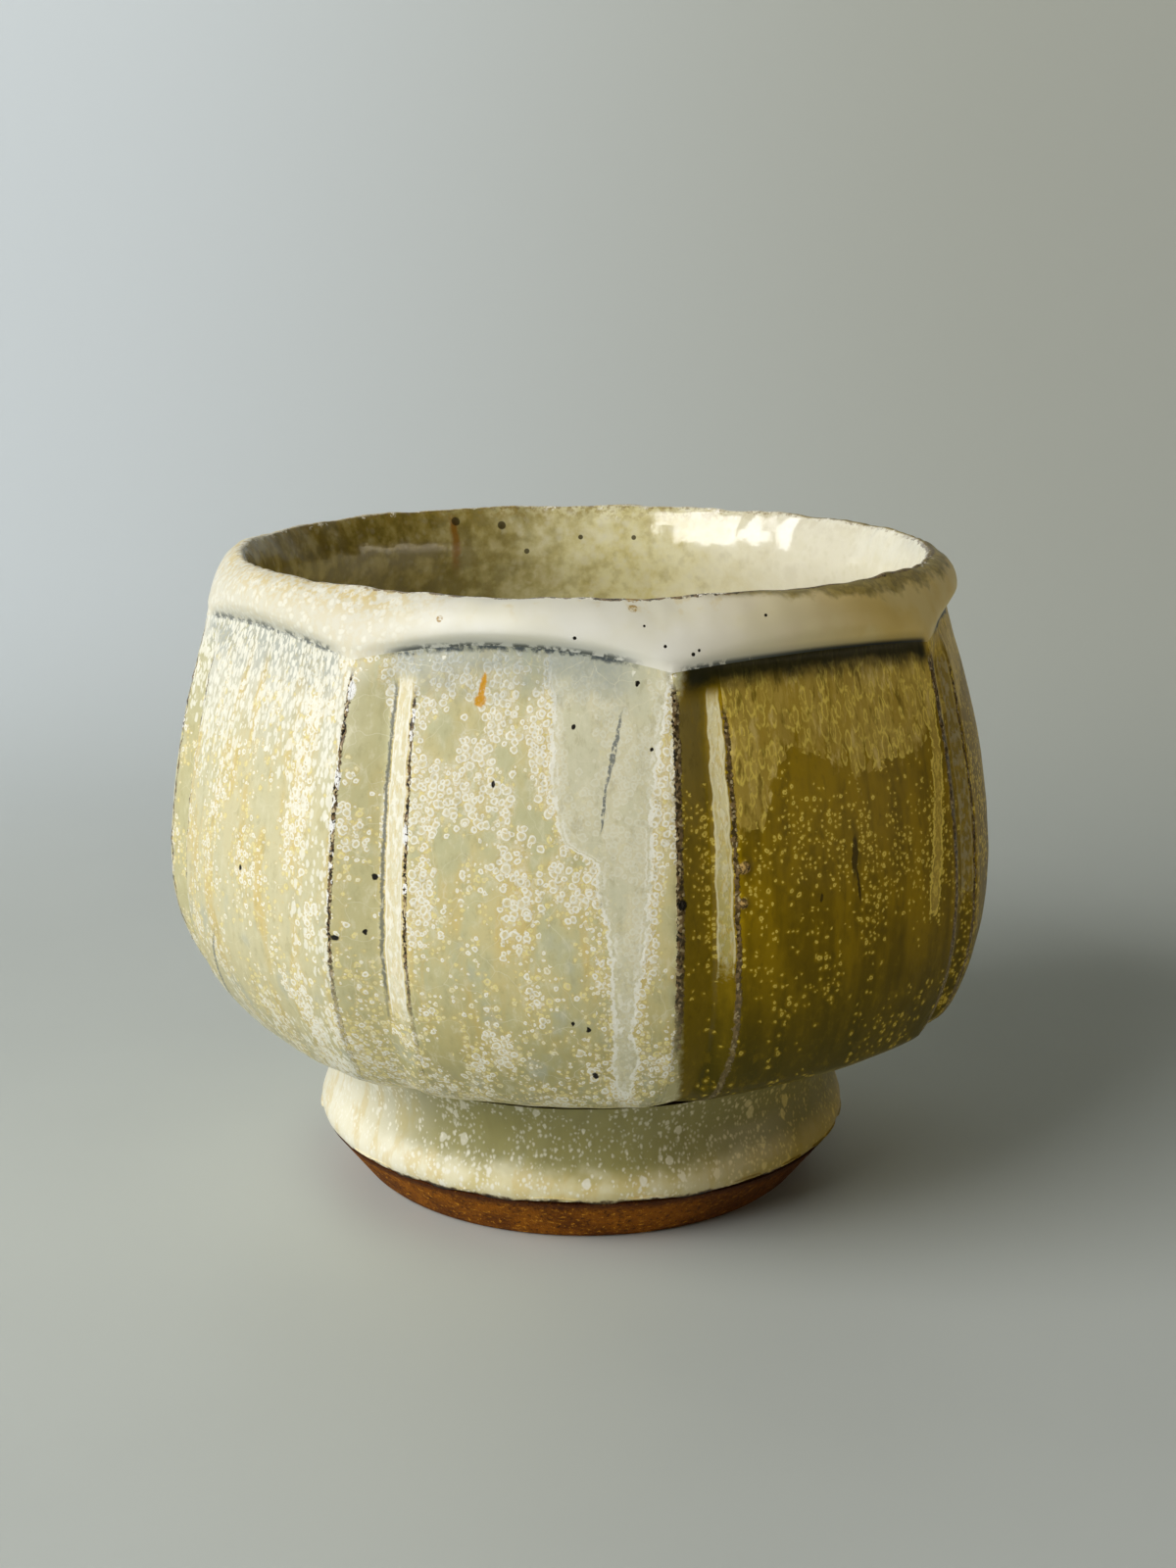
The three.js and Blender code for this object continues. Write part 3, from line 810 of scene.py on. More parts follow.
    # The veils that hang from the crease, drawn out into loops
    cloud = g.noise(1.6, 4, 0.65, g.scaled(flow, 1.0, 0.3))
    hung = g.step(veil + ragged * 3.0 + sway * 5.0 + cloud * 14.0 - 7.0, -1.2, 1.2)
    base = g.paint(base, veil_tone, hung, 0.65)
    loops = g.step(veil, -5.0, 1.0) * 1.4 - 0.5
    drawn = g.scaled(loose, 1.0, 0.36)
    for shift, size, least, most in VEIL_LOOPS:
        inside, _, lot = g.crystals(drawn, True, size, least, most, loops, shift)
        base = g.paint(base, veil_tone, g.step(inside, 0.0, 0.1), 0.5)
        base = g.paint(base, SAND, g.band(inside, 0.0, 0.08, 0.1), g.step(lot, 0.1, 0.7), broken, 0.75)
    base = g.paint(base, colour(226, 200, 120), hung, olive_and_shade, g.step(cloud, 0.54, 0.68), 0.65)
    base = g.paint(base, colour(112, 92, 14), hung, olive_and_shade, g.step(cloud, 0.47, 0.34), 0.75)

    # Pale strips on the risers of the flutes, with a bubbled surface, darker at the right and darkest on the
    # far facets, partly as painted shade
    waver = sway * 0.7
    strip_left = groove_off + waver + olive_and_shade * 0.25 - 0.7
    strip_right = riser_off + waver + 0.5
    strip_in = g.math("MINIMUM", strip_left, strip_right * -1.0)
    strip_on = carved * g.step(above + ragged * 8.0 - olive_and_shade * 6.0, 12, 16)
    far = g.step(turn, 40, 55) * olive_and_shade
    strip_tone = g.mix(olive_and_shade, CREAM,
                       g.mix(g.step(above, 22, 44), colour(184, 172, 104), colour(226, 216, 168)))
    strip_tone = g.mix(far, strip_tone, colour(150, 130, 62))
    riser = g.step(strip_in, -0.1, 0.2) * strip_on
    base = g.paint(base, warm, g.step(strip_in, -0.7, -0.1), strip_on, 0.5 - olive_and_shade * 0.35)
    base = g.paint(base, strip_tone, riser, 0.8)
    bubbles = g.step(g.noise(0.8, 3, 0.6, g.scaled(flow, 1.0, 0.5)), 0.46, 0.58)
    base = g.paint(base, WHITE, riser, bubbles, 0.8 - olive_and_shade * 0.6)
    veins = g.noise(1.2, 3, 0.6, g.scaled(flow, 1.0, 0.22))
    base = g.paint(base, warm, riser, g.step(g.size(veins - 0.5), 0.05, 0.01), 0.35)
    base = g.paint(base, g.mix(olive_and_shade, WHITE, colour(232, 222, 176)), g.band(strip_in, 0.05, 0.15, 0.12),
                   strip_on, 0.7 - far * 0.5)

    # Grainy dark lines along the ridges and risers, and a soft broken line in each groove
    wander = sway * 0.5
    width = g.noise(1.4, 3, 0.65, flow) * 0.8 + olive_and_shade * 0.42 + low * 0.15 - 0.1
    jitter = (fine - 0.5) * 0.7
    ridge_off = g.size(g.math("MINIMUM", along, following) + wander)
    rib_off = g.size(riser_off + wander)
    ridge_line = g.step(ridge_off + jitter - width * 1.0, 0.1, -0.1) * g.step(below, 0.8, 2.5)
    rib_line = g.step(rib_off + jitter - width * 0.8 + olive_and_shade * 0.25, 0.1, -0.1) * g.step(below, 3.5, 6.0)
    line = g.most(ridge_line, rib_line)
    lot = g.split(g.cells(0.34, flow, True).outputs["Color"])[0]
    strength = g.step(above, 4, 26) + olive_and_shade * 0.6 + g.noise(4.0, 2, 0.5, flow) * 0.9 - 0.3
    strength = g.math("MINIMUM", strength, 1.0)
    groove_line = g.step(g.size(groove_off + waver - 0.2) + jitter, 0.42, 0.1)
    groove_gaps = g.step(g.noise(2.2, 3, 0.6, g.scaled(flow, 1.0, 0.5)) + g.step(below, 56, 10), 0.48, 0.85)
    base = g.paint(base, BLUE_GREY, groove_line, carved, groove_gaps, 0.85 - olive_and_shade * 0.7)
    grit = g.mix(g.step(lot, 0.22, 0.26), BLACK, BURNT)
    grit = g.mix(g.step(lot, 0.50, 0.56), grit, BROWN)
    grit = g.mix(g.step(lot, 0.82, 0.86), grit, colour(196, 178, 136))
    grit = g.paint(grit, colour(150, 138, 106), low, 0.5)
    grit = g.paint(grit, colour(112, 92, 50), olive_and_shade, 0.35)
    base = g.paint(base, grit, line, strength)
    # Painted highlights: white glints where the lamp catches the glassy ridges and risers at the left, and
    # at the listed places
    sparkle = g.split(g.cells(1.3, flow, True).outputs["Color"])[1]
    glint = g.step(g.math("MINIMUM", ridge_off, rib_off), 0.5, 0.25) * g.math("GREATER_THAN", sparkle, 0.86)
    glint = glint * g.step(fine, 0.42, 0.5) * g.step(turn, 12, 6) * g.step(above, 18, 28)
    base = g.paint(base, colour(252, 251, 246), glint, carved)
    base = g.paint(base, colour(252, 251, 246), g.marks(loose, GLINTS), g.step(fine, 0.36, 0.46))

    # A fine crackle, and the dark line in the crease, partly pooled glaze and partly painted shadow under
    # the collar, near black and soft at the right
    crackle = g.cells(5.0, g.shaken(flow, 4.0, 5.0), True, "DISTANCE_TO_EDGE").outputs["Distance"]
    base = g.paint(base, body, g.step(crackle, 0.016, 0.003), 0.4 - olive_and_shade * 0.36)
    reach = g.math("DIVIDE", below + ragged * 0.8 + sway * olive_and_shade * 2.0, crease_soft)
    gaps = g.noise(1.3, 3, 0.65, flow) + olive_and_shade * 0.4
    dark = g.step(reach, 1.3, 0.3) * crease * g.step(gaps, 0.40, 0.56)
    base = g.paint(base, g.mix(olive_and_shade, colour(74, 82, 84), CREASE_SHADOW), dark, 0.95)

    # A pale lower edge at the right, partly a pale crust and partly a painted highlight, then single marks
    base = g.paint(base, colour(170, 154, 92), g.step(above, 2.0, 0.5), olive_and_shade, g.step(turn, 28, 40), broken,
                   0.6)
    base = g.paint(base, RUST, g.marks(loose, RUST_STREAKS), g.step(fine, 0.2, 0.5), 0.95)
    base = g.paint(base, colour(104, 110, 110), g.marks(loose, GREY_STREAKS), g.step(fine, 0.3, 0.55), 0.85)
    base = g.paint(base, colour(58, 46, 4), g.marks(loose, DARK_STREAKS), 0.85)
    # The blisters: brown, with tan flecks that are painted highlights
    lumps = g.marks(loose, BLISTERS)
    base = g.paint(base, g.mix(g.step(fine, 0.42, 0.6), BURNT, colour(196, 160, 96)), lumps, 0.95)
    holes = g.marks(loose, BLACK_SPECKS)
    base = g.paint(base, BLACK, holes)

    bare = 1.0 - covered
    relief = raised[3] * bare * 0.22 + raised[2] * bare * 0.18 + g.noise(1.8, 3, 0.5) * 0.7
    relief = relief + line * lot * 1.4 + riser * bubbles * 0.4 - holes * 2.0
    g.put(g.shader.inputs["Specular IOR Level"], 0.25 - olive_and_shade * 0.19)
    rough = raised[3] * 0.1 - line * 0.1 + 0.34
    return g.finish(base, rough, relief, 0.09)


def inside_tones(g, turn, depth):
    """The glaze inside the mouth: dark olive at the left, mottled at the back, cream at the right, with
    painted shade deepening the left and painted light brightening the right.
    """
    patch = g.noise(4.5, 4, 0.65)
    mottle = g.noise(2.8, 3, 0.55)
    streak = g.noise(2.4, 3, 0.6, g.scaled(g.place, 1.0, 1.0, 0.4))
    drift = turn + patch * 26
    wall = g.step(depth, 60, 32)
    # Painted shade on the dark left of the inside and painted light on the pale right, over the glaze's
    # olive and cream
    olive_and_shade = g.step(drift, 184, 230) * g.step(turn, 350, 290) * wall
    cream_and_light = g.step(drift, 186, 146) * g.step(turn, 10, 70) * wall
    base = g.mix(g.step(patch, 0.36, 0.64), colour(238, 230, 178), colour(222, 210, 148))
    dark = g.mix(g.step(mottle, 0.36, 0.66), colour(114, 97, 22), colour(160, 140, 50))
    base = g.paint(base, dark, olive_and_shade, 0.95)
    base = g.paint(base, colour(248, 243, 222), cream_and_light, 0.88)
    base = g.paint(base, colour(238, 232, 202), g.step(mottle, 0.44, 0.72), 0.55 - olive_and_shade * 0.4)
    base = g.paint(base, colour(140, 122, 60), g.step(mottle, 0.5, 0.3), 0.3 - cream_and_light * 0.22)
    inside = g.crystals(g.shaken(g.place, 1.0, 0.6), False, 1.3, 0.22, 0.55, 0.48)[0]
    base = g.paint(base, CREAM, g.step(inside, -0.3, 0.3), 0.45 - olive_and_shade * 0.3)
    speck = g.step(g.noise(1.3, 3, 0.6), 0.44, 0.60)
    base = g.paint(base, colour(158, 134, 58), g.step(depth, 4.0, 0.4), speck, 0.7 - cream_and_light * 0.55)
    rust = (g.step(g.size(turn - (streak * 2.0 + 205.8)), 1.3, 0.3) * g.step(depth, 12, 8)
            * g.step(depth, 1.0, 3.0))
    base = g.paint(base, colour(140, 92, 8), rust, g.step(mottle, 0.3, 0.55), 0.85)
    return g.paint(base, colour(52, 42, 20), g.dots(rim_points(INSIDE_SPOTS)), 0.85)


def rim_glaze_material():
    g = Graph("glaze_rim")
    crown, drop, turn = g.attribute("rim_place")
    crease = g.attribute("edge_place")[0]
    lip = g.size(crown)
    fine = g.noise(0.45, 3, 0.6)
    grain = g.noise(1.0, 3, 0.6)
    patch = g.noise(6.0, 3, 0.5)
    shade = g.step(turn, 6, 50) * g.step(turn, 150, 105)
    left = g.most(g.step(turn, -14, -34), g.step(turn, 140, 190))
    base = g.mix(g.step(patch, 0.4, 0.65), colour(243, 240, 224), colour(238, 233, 208))
    # Painted light and painted shade: the lower collar, shaded by its own overhang, is painted paler, and
    # the top near the lip a little darker
    base = g.paint(base, colour(252, 250, 240), g.step(drop, 6.5, 2.0), 1.0 - shade, 0.5)
    base = g.paint(base, colour(228, 224, 203), g.step(lip, 6.0, 1.0), 0.6)
    base = g.paint(base, colour(226, 220, 196), left, 0.8)
    # Tan towards the right, partly the glaze's tone and partly painted shade where the collar faces away
    # from the lamp
    base = g.mix(shade, base,
                 g.mix(g.step(patch, 0.35, 0.65), colour(224, 196, 116), colour(230, 208, 140)))

    # Crystals and ochre at the left, most of it near the lip
    inside, deep, _ = g.crystals(g.shaken(g.place, 0.9, 0.7), False, 0.9, 0.2, 0.5, 0.6)
    near_lip = g.step(lip, 6.0, 1.5)
    base = g.paint(base, OCHRE, left, g.step(grain, 0.44, 0.58), near_lip * 0.6 + 0.15)
    base = g.paint(base, WHITE, left, g.step(inside, -0.15, 0.15), 0.6)
    base = g.paint(base, OCHRE, left, g.step(deep, 0.5, 0.8), near_lip, 0.6)
    base = g.paint(base, OCHRE, g.step(g.noise(3.0, 3, 0.6), 0.58, 0.68), near_lip, 0.3)

    # The thin glaze over the lip: an olive band at the right, and a grainy line all round
    width = shade * g.noise(3.0, 3, 0.6) * 6.0 + grain * 0.6
    band = g.step(lip - width, 0.8, -0.9)
    band_tone = g.mix(g.step(grain, 0.4, 0.6), colour(104, 90, 24), colour(150, 130, 54))
    base = g.paint(base, band_tone, band, g.step(shade, 0.0, 0.35), 0.8)
    base = g.mix(g.step(crown, 0.0, 0.5), base, inside_tones(g, turn, crown))
    thin = g.step(lip - grain * 1.5, 0.12, -0.15)
    worn = g.step(turn, -45, -8) * g.step(turn, 110, 80) + g.step(fine, 0.45, 0.6) * 0.6
    line_tone = g.mix(g.step(fine, 0.38, 0.56), BLACK, BROWN)
    base = g.paint(base, line_tone, thin, g.step(grain, 0.38, 0.5), g.math("MINIMUM", worn, 0.9))
    # Painted highlights: small white glints along the lip
    spark = g.split(g.cells(1.1, g.place).outputs["Color"])[0]
    base = g.paint(base, colour(252, 246, 226), g.step(lip, 1.4, 0.6), g.math("GREATER_THAN", spark, 0.9),
                   g.step(fine, 0.48, 0.56))

    # The crease below, painted with the shade under the collar's overhang, darkest at the right; and
    # pinholes
    gaps = g.noise(1.3, 3, 0.65) + shade * 0.3
    base = g.paint(base, g.mix(shade, SMOKE, colour(110, 98, 44)), g.step(drop, 1.8, 0.2), crease, 0.45)
    base = g.paint(base, g.mix(shade, BLUE_GREY, CREASE_SHADOW), g.step(drop, 0.8, 0.1), crease,
                   g.step(gaps, 0.42, 0.56))
    smear = g.dots(rim_points(RIM_RUST)) * g.step(fine, 0.38, 0.58)
    base = g.paint(base, colour(170, 132, 42), smear, 0.85)
    holes = g.dots(rim_points(RIM_HOLES))
    base = g.paint(base, BLACK, holes)

    relief = g.noise(2.6, 3, 0.5) * 0.3 + fine * 0.08 - holes * 2.0
    relief = relief + left * g.step(inside, -0.1, 0.15) * 0.25 + thin * fine
    inner = g.step(crown, 0.0, 0.6)
    g.put(g.shader.inputs["Specular IOR Level"], inner * 0.6 + 0.2)
    relief = relief * (1.0 - inner * 0.5)
    return g.finish(base, 0.38 - inner * 0.22, relief, 0.09)


def liner_glaze_material():
    g = Graph("glaze_liner")
    turn, depth, _ = g.attribute("inside_place")
    base = inside_tones(g, turn, depth)
    relief = g.noise(2.2, 3, 0.55) + g.noise(0.7, 2, 0.6) * 0.2
    g.shader.inputs["Specular IOR Level"].default_value = 0.8
    return g.finish(base, 0.16, relief, 0.05)


def foot_glaze_material():
    g = Graph("glaze_foot")
    x, _, height = g.split(g.place)
    patch = g.noise(5.0, 3, 0.55)
    streak = g.noise(2.4, 3, 0.55, g.scaled(g.place, 1.0, 1.0, 0.3))
    # Painted shade: the right of the foot, away from the lamp, is painted darker and its spots duller
    shade = g.step(x, 2, 32)
    base = g.mix(g.step(patch, 0.38, 0.64), colour(236, 228, 190), colour(222, 208, 150))
    base = g.paint(base, colour(244, 240, 220), g.step(x, -12, -28), 0.75)
    # The neck under the body: grey-green glaze, darkened partly as painted shadow under the body's overhang
    hollow = g.step(height + patch * 4.0, 12.0, 15.5) * g.step(x, -34, -14)
    base = g.paint(base, OCHRE, g.step(streak, 0.50, 0.64), 0.45)
    base = g.paint(base, g.mix(streak, colour(130, 125, 72), colour(168, 162, 104)), hollow, 0.92)
    base = g.paint(base, g.mix(hollow, colour(150, 126, 30), colour(112, 100, 36)), shade, 0.88)
    loose = g.scaled(g.shaken(g.place, 0.9, 0.6), 1.0, 1.0, 0.7)
    tone = g.mix(shade, colour(248, 244, 226), colour(206, 182, 90))
    for shift, size, least, most, density in FOOT_SPOTS:
        inside = g.crystals(loose, False, size, least, most, density, shift)[0]
        base = g.paint(base, tone, g.step(inside, -0.12, 0.1), 0.9 - hollow * 0.35)
    ragged = g.noise(1.4, 3, 0.6) * 1.6 + height
    base = g.paint(base, colour(96, 74, 40), g.step(ragged, 8.9, 8.4))
    base = g.paint(base, BLACK, g.step(ragged, 8.5, 8.2))
    relief = g.noise(2.0, 3, 0.5) * 0.7 + g.noise(0.6, 2, 0.6) * 0.15
    g.shader.inputs["Specular IOR Level"].default_value = 0.25
    return g.finish(base, 0.36, relief, 0.1)


def clay_material(name, dark, mid, light, burnt_from=99.0):
    """Grainy bare clay, burnt darker above a height, and darker towards the right as painted shade."""
    g = Graph(name)
    x, _, height = g.split(g.place)
    grain = g.noise(0.7, 4, 0.7)
    blotch = g.noise(6.0, 3, 0.6)
    tone = g.mix(g.step(blotch, 0.35, 0.65), dark, mid)
    tone = g.paint(tone, light, g.step(grain, 0.56, 0.68))
    tone = g.paint(tone, colour(60, 32, 8), g.step(grain, 0.46, 0.36), 0.75)
    burnt = g.step(height + blotch * 3.0, burnt_from, burnt_from + 1.6)
    tone = g.paint(tone, colour(66, 30, 14), burnt, 0.85)
    # Painted shade on the side away from the lamp
    tone = g.paint(tone, colour(48, 22, 8), g.step(x, 2, 30), 0.75)
    relief = grain + g.noise(0.35, 2, 0.6) * 0.6
    g.shader.inputs["Specular IOR Level"].default_value = 0.12
    return g.finish(tone, 0.75, relief, 0.3)


def stage_material(name, near, lit_far_left, dim_far_right):
    """Plain grey board, paler where it rises behind the bowl, with painted light making the backdrop
    brighter towards the left.
    """
    g = Graph(name)
    x, y, _ = g.split(g.place)
    grain = g.noise(60.0, 3, 0.5)
    base = g.mix(g.step(grain, 0.3, 0.7), near, tuple(0.97 * part for part in near[:3]) + (1.0,))
    base = g.paint(base, g.mix(g.step(x, -220, 160), lit_far_left, dim_far_right), g.step(y, 60, 360))
    return g.finish(base, 0.5)


# The pieces

columns = Columns()
bowl = bowl_rows(columns)
points = bowl["points"]
crease_row = bowl["crease_row"]
crown_row = bowl["crown_row"]
rim_end = bowl["rim_end"]
row = np.arange(len(points))[:, None]
reach = np.radians(1) * bowl["r"]
turn = np.degrees(bowl["angle"])
height = points[..., 2]
below = bowl["crease_z"] - height
pitch_mm = columns.pitch * reach
along_mm = bowl["along"] * reach
flute_mm = bowl["flute"] * reach
from_ridge = np.minimum(along_mm, pitch_mm - along_mm)
across, up = unrolled(turn, height)
steps = np.linalg.norm(np.diff(points, axis=0), axis=-1)
length = np.concatenate([np.zeros((1, columns.count)), np.cumsum(steps, 0)])
up[:SHELF_ROWS] = (up[SHELF_ROWS] + length - length[SHELF_ROWS])[:SHELF_ROWS]

# Small unevenness, never outside the solids: broad waves, a wavy lip, jagged ridges and two blisters
wall = (row >= SHELF_ROWS) & (row < crease_row)
lip_share = np.exp(-((row - crown_row) / LIP_WAVE_ROWS) ** 2)
broad = (BROAD_DEPTH + BROAD_LIP_DEPTH * lip_share) * (waves(points, BROAD_WAVE, 3) - 1)
close = (CLOSE_DEPTH + CLOSE_LIP_DEPTH * lip_share) * (waves(points, CLOSE_WAVE, 5) - 1)
relief = broad + close - SKIN_DROP
rib_crest = np.exp(-((along_mm - flute_mm) / RIB_JAG_WIDTH) ** 2) * smooth(3, 6, below)
crest = np.exp(-(from_ridge / RIDGE_JAG_WIDTH) ** 2) + rib_crest
relief += wall * crest * JAG_DEPTH * (waves(points, 1.7, 7) + waves(points, 3.1, 9) - 1.4)
for mark_turn, mark_height, wide, tall in BLISTERS:
    u, v = unrolled(mark_turn, mark_height)
    away = ((across - u) / wide) ** 2 + ((up - v) / tall) ** 2
    relief += wall * BLISTER_STAND * np.clip(1 - away, 0, None) ** 0.7
points = points + grid_normals(points) * relief[..., None]
under = points - grid_normals(points) * GLAZE
height = points[..., 2]


def rim_points(marks):
    """Points on the collar or inside the mouth, for marks given by turn and height."""
    places = []
    for mark_turn, mark_height, radius in marks:
        inside = abs(mark_turn) > 90
        rows = slice(crown_row, None) if inside else slice(crease_row, crown_row + 1)
        off = np.abs((turn[rows] - mark_turn + 180) % 360 - 180) + np.abs(height[rows] - mark_height)
        places.append((*(float(part) for part in points[rows].reshape(-1, 3)[off.argmin()]), radius))
    return places


def pair(first, second, third, closing):
    """Places for a skin's cells: at each column, and at the next one as its facet's far side."""
    here = np.stack(np.broadcast_arrays(first, second, third), -1)
    there = np.roll(here, -1, axis=1)
    for index, values in closing.items():
        there[:, columns.last, index] = values[:, columns.last]
    return here, there


far_turn = turn - bowl["along"] + columns.pitch
cut_places = pair(along_mm, pitch_mm - along_mm, flute_mm,
                  {0: pitch_mm, 1: 0 * pitch_mm, 2: flute_mm})
wall_places = pair(below, height - bowl["edge_z"], turn, {2: far_turn})


def on_facet(index, here, elsewhere):
    return np.where(columns.facet == index, here, elsewhere)


LEFT = 0
FRONT = 1
RIGHT = 2
NEVER = -30.0

# How deep in the smooth run or the drip each place lies, and how deep in the hanging veils
run_left = np.interp(height, RUN_HEIGHTS, RUN_LEFT)
run_right = np.interp(height, RUN_HEIGHTS, RUN_RIGHT)
drip = DRIP_HALF - np.abs(turn - np.interp(height, DRIP_HEIGHTS, DRIP_TURNS)) * UNROLL
drip = np.minimum(drip, (height - DRIP_HEIGHTS[0]) * 0.4)
run = on_facet(FRONT, np.minimum(turn - run_left, run_right - turn) * UNROLL, NEVER)
run = on_facet(RIGHT, drip, run)
hang = np.interp(turn, VEIL_TURNS, VEIL_DROPS)
hang = np.where(columns.facet > RIGHT, 11 + 4 * np.sin(np.radians(3 * turn)), hang)
veil = np.where((columns.facet > RIGHT) | (columns.facet == RIGHT) & (columns.zone == 2),
                hang - 1.0 - below, NEVER)

# Where crystals and flecks gather
fluted = (columns.zone == 0) * smooth(2, 5, below)
big = on_facet(FRONT, np.interp(height, *LARGE_AT_FRONT), LARGE_ELSEWHERE)
big = on_facet(LEFT, LARGE_AT_LEFT + 0.3 * smooth(12, 4, pitch_mm - along_mm), big)
big = on_facet(RIGHT, LARGE_AT_RIGHT, big) - 0.3 * fluted * smooth(36, 44, height)
small = np.interp(height, *SMALL_GROWTH) + 0 * turn
small = small + fluted * np.interp(height, *SMALL_IN_FLUTES)
small = on_facet(RIGHT, np.interp(height, *SMALL_AT_RIGHT), small)
dash = on_facet(LEFT, np.interp(height, *DROPS_AT_LEFT), NO_DROPS)
dash = dash + on_facet(LEFT, 0.2 * smooth(9, 4, pitch_mm - along_mm), 0)
dash = on_facet(FRONT, np.interp(below, *DROPS_BELOW_CREASE) - 0.2 * fluted, dash)

lace = on_facet(FRONT, smooth(2.2, 0.3, np.abs(run)), 0)
big, small = big + 0.2 * lace, small + 0.25 * lace

# How dark and how soft the crease is, with its painted shadow under the collar, softest at the right
crease = smooth(2.5, 7, from_ridge)
crease = on_facet(LEFT, 0.85 * smooth(1.5, 4, from_ridge), crease)
crease = on_facet(RIGHT, smooth(0.3, 2.5, along_mm) * smooth(0, 1.4, pitch_mm - along_mm), crease)
crease_soft = on_facet(RIGHT, 3.0, on_facet(LEFT, 0.3, 0.5)) + 0 * turn

far_across = far_turn * UNROLL
flow_places = pair(across, up, veil, {0: far_across, 2: veil})
grow_places = pair(big, small, dash, {0: big, 1: small, 2: dash})
edge_places = pair(crease, crease_soft, run, {0: crease, 1: crease_soft, 2: run})


def coat(name, start, stop, places, kept):
    """A coat of glaze as a closed shell: its rows, then a coarser underside back to the start."""
    back = sorted({start, stop - 1, *kept, *range(start, stop, 9)}, reverse=True)
    rings = np.concatenate([points[start:stop], under[back]])
    shown = {label: (here[start:stop], there[start:stop]) for label, (here, there) in places.items()}
    return skin_mesh(name, rings, stop - start, shown)


outer = coat("glaze_outer", 0, crease_row + 1,
             {"cut_place": cut_places, "wall_place": wall_places, "flow_place": flow_places,
                                               "grow_place": grow_places, "edge_place": edge_places},
             [SHELF_ROWS - 1, SHELF_ROWS, SHELF_ROWS + 1, crease_row - 2])
finish_piece(outer, outer_glaze_material(), "outer_glaze", "outer_glaze")

rim_places = pair(length - length[crown_row], length - length[crease_row], turn, {2: far_turn})
rim = coat("glaze_rim", crease_row, rim_end, {"rim_place": rim_places, "edge_place": edge_places},
           list(range(crease_row, rim_end, 3)))
finish_piece(rim, rim_glaze_material(), "rim_glaze", "rim_glaze")

lining = points[rim_end - 1:]
lining_under = under[rim_end - 1::6][::-1]
middle = [(0, 0, FLOOR_Z - GLAZE), (0, 0, FLOOR_Z)]
inside_places = pair(turn % 360, bowl["lip_z"] - height, 0 * turn, {0: far_turn % 360})
inside_places[1][..., 0] += 360 * (inside_places[1][..., 0] < inside_places[0][..., 0] - 180)
inside_places = [np.concatenate([place[rim_end - 1::6][::-1],
                                 place[rim_end - 1:]]) for place in inside_places]
lining_rings = np.concatenate([lining_under, lining])
liner = skin_mesh("glaze_liner", lining_rings, len(lining_rings), {"inside_place": inside_places}, middle)
finish_piece(liner, liner_glaze_material(), "liner_glaze", "liner_glaze")


def foot_curve(count):
    """The glazed outside of the foot, as radius and height: bevel top, bulge, neck and fillet."""
    heights = [BEVEL_HEIGHT, BEVEL_HEIGHT + BULGE_RISE, FOOT_HEIGHT - NECK_DROP, LUTE_Z - 0.4]
    radii = [BEVEL_R, BULGE_R, NECK_R, NECK_R + 1.1]
    curve = []
    for step in range(count + 1):
        at = 3 * step / count
        index = min(int(at), 2)
        t = at - index
        around = [max(0, min(3, index + offset)) for offset in (-1, 0, 1, 2)]
        point = []
        for values in (radii, heights):
            a, b, c, d = (values[i] for i in around)
            slope, far_slope = (c - a) / 2, (d - b) / 2
            point.append((2 * b - 2 * c + slope + far_slope) * t ** 3
                         + (3 * c - 3 * b - 2 * slope - far_slope) * t ** 2 + slope * t + b)
        curve.append(point)
    return np.array(curve)


def turned_rings(outline, count):
    angle = np.arange(count) / count * math.tau
    r, z = outline[:, 0, None], outline[:, 1, None] + 0 * angle
    return np.stack([r * np.sin(angle), -r * np.cos(angle), z], -1)


face = foot_curve(FOOT_ROWS)
rings = turned_rings(face, FOOT_COLUMNS)
sway = waves(rings[0], 9, 11)
rings[:5, :, 2] += (0.5 * (sway + 1) * np.linspace(1, 0, 5)[:, None])
foot_normals = grid_normals(rings)
rings = rings + foot_normals * (0.06 * (waves(rings, 8, 13) - 1))[..., None]
back = (rings - foot_normals * GLAZE)[::6][::-1]
foot_glaze = skin_mesh("glaze_foot", np.concatenate([rings, back]), len(rings))
finish_piece(foot_glaze, foot_glaze_material(), "foot_glaze", "foot_glaze")

clay_outline = [(HOLLOW_R - HOLLOW_TAPER, FOOT_HEIGHT), (HOLLOW_R, 0.5), (HOLLOW_R + 0.5, 0)]
clay_outline += [(r, 0) for r in np.linspace(HOLLOW_R + 1, FOOT_BASE_R - 0.6, 8)]
clay_outline += [(FOOT_BASE_R - 0.2, 0.12), (FOOT_BASE_R + 0.1, 0.45)]
clay_outline += [(lerp(FOOT_BASE_R, BEVEL_R, s), lerp(0, BEVEL_HEIGHT, s)) for s in np.linspace(0.12, 0.99,
                                                                                                24)]
clay_outline += [(r - GLAZE, min(z, FOOT_HEIGHT)) for r, z in face[2:-2].tolist()]
clay_rings = turned_rings(np.array(clay_outline), FOOT_COLUMNS)
foot_clay = skin_mesh("foot_clay", clay_rings, len(clay_rings))
rust_clay = clay_material("clay_foot", colour(118, 64, 4), colour(164, 96, 8), colour(228, 156, 44), 7.2)
finish_piece(foot_clay, rust_clay, "foot_clay", "foot_ring")

hidden_clay = clay_material("clay_body", colour(88, 54, 28), colour(124, 80, 42), colour(170, 118, 66))
slip_clay = clay_material("clay_slip", colour(120, 88, 56), colour(150, 112, 74), colour(186, 146, 100))
for node, material in (("bowl_body", hidden_clay), ("slip_joint", slip_clay)):
    for material_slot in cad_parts[node].material_slots:
        material_slot.material = material

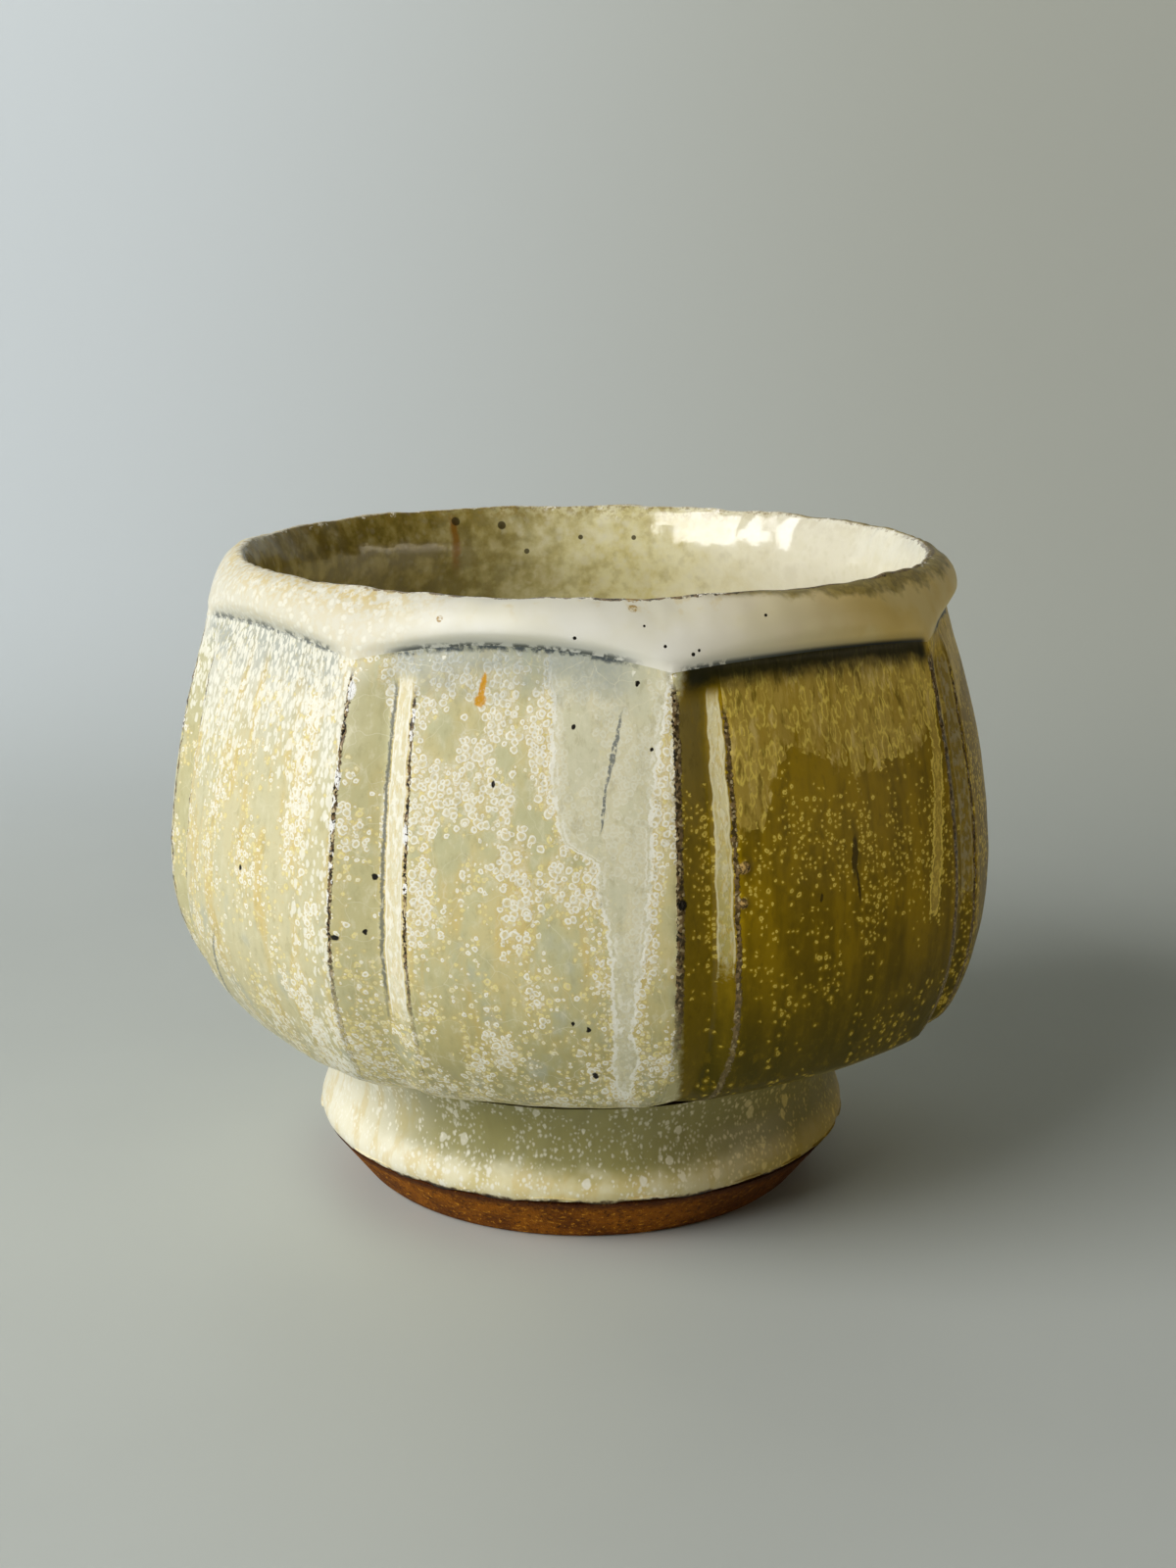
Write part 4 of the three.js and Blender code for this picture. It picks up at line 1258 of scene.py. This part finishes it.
# Floor and backdrop in one sweep
sweep = [(y, 0.0) for y in np.linspace(SWEEP_FRONT, BEND_Y, 12)]
sweep += [(BEND_Y + BEND_R * math.sin(a), BEND_R - BEND_R * math.cos(a)) for a in np.linspace(0.1,
                                                                                              math.pi / 2,
                                                                                              20)]
sweep += [(BEND_Y + BEND_R, z) for z in np.linspace(BEND_R + 0.05, SWEEP_TOP, 6)]
verts = [(x, y, z) for y, z in sweep for x in (-SWEEP_HALF, SWEEP_HALF)]
quads = [(2 * i, 2 * i + 1, 2 * i + 3, 2 * i + 2) for i in range(len(sweep) - 1)]
mesh = bpy.data.meshes.new("floor")
mesh.from_pydata(verts, [], quads)
mesh.shade_smooth()
floor = bpy.data.objects.new("floor", mesh)
bpy.context.scene.collection.objects.link(floor)
mesh.materials.append(stage_material("floor_grey", colour(204, 209, 203), colour(236, 244, 247),
                                     colour(214, 218, 208)))


def area_light(name, place, target, size, watts, tint):
    light = bpy.data.lights.new(name, "AREA")
    light.shape = "RECTANGLE"
    light.size, light.size_y = size
    light.energy = watts
    light.color = tint
    lamp = bpy.data.objects.new(name, light)
    lamp.location = place
    aim = Vector(target) - Vector(place)
    lamp.rotation_euler = aim.to_track_quat("-Z", "Y").to_euler()
    bpy.context.scene.collection.objects.link(lamp)


def around(azimuth, elevation, distance):
    """A place by its angle from the front towards +X, its angle above the floor, and its distance."""
    a, e = math.radians(azimuth), math.radians(elevation)
    return (distance * math.cos(e) * math.sin(a), -distance * math.cos(e) * math.cos(a),
            distance * math.sin(e) + 0.05)


for name, (azimuth, elevation, distance, *lamp) in (("key", KEY_LAMP), ("fill", FILL_LAMP)):
    area_light(name, around(azimuth, elevation, distance), (0, 0, LAMP_AIM_Z[name]), *lamp)

world = bpy.data.worlds.new("studio")
world.use_nodes = True
world.node_tree.nodes["Background"].inputs["Color"].default_value = ROOM_TINT
world.node_tree.nodes["Background"].inputs["Strength"].default_value = ROOM_STRENGTH
bpy.context.scene.world = world
bpy.context.scene.view_settings.view_transform = "Standard"

camera = bpy.data.cameras.new("camera")
camera.lens = LENS
camera.sensor_width = 36
camera.clip_start = 0.01
viewer = bpy.data.objects.new("camera", camera)
viewer.matrix_world = (Matrix.Translation(Vector(CAMERA_PLACE) * MM)
                       @ Matrix.Rotation(math.radians(90 - CAMERA_DOWN_DEG), 4, "X")
                       @ Matrix.Rotation(math.radians(CAMERA_ROLL_DEG), 4, "Z"))
bpy.context.scene.collection.objects.link(viewer)
bpy.context.scene.camera = viewer
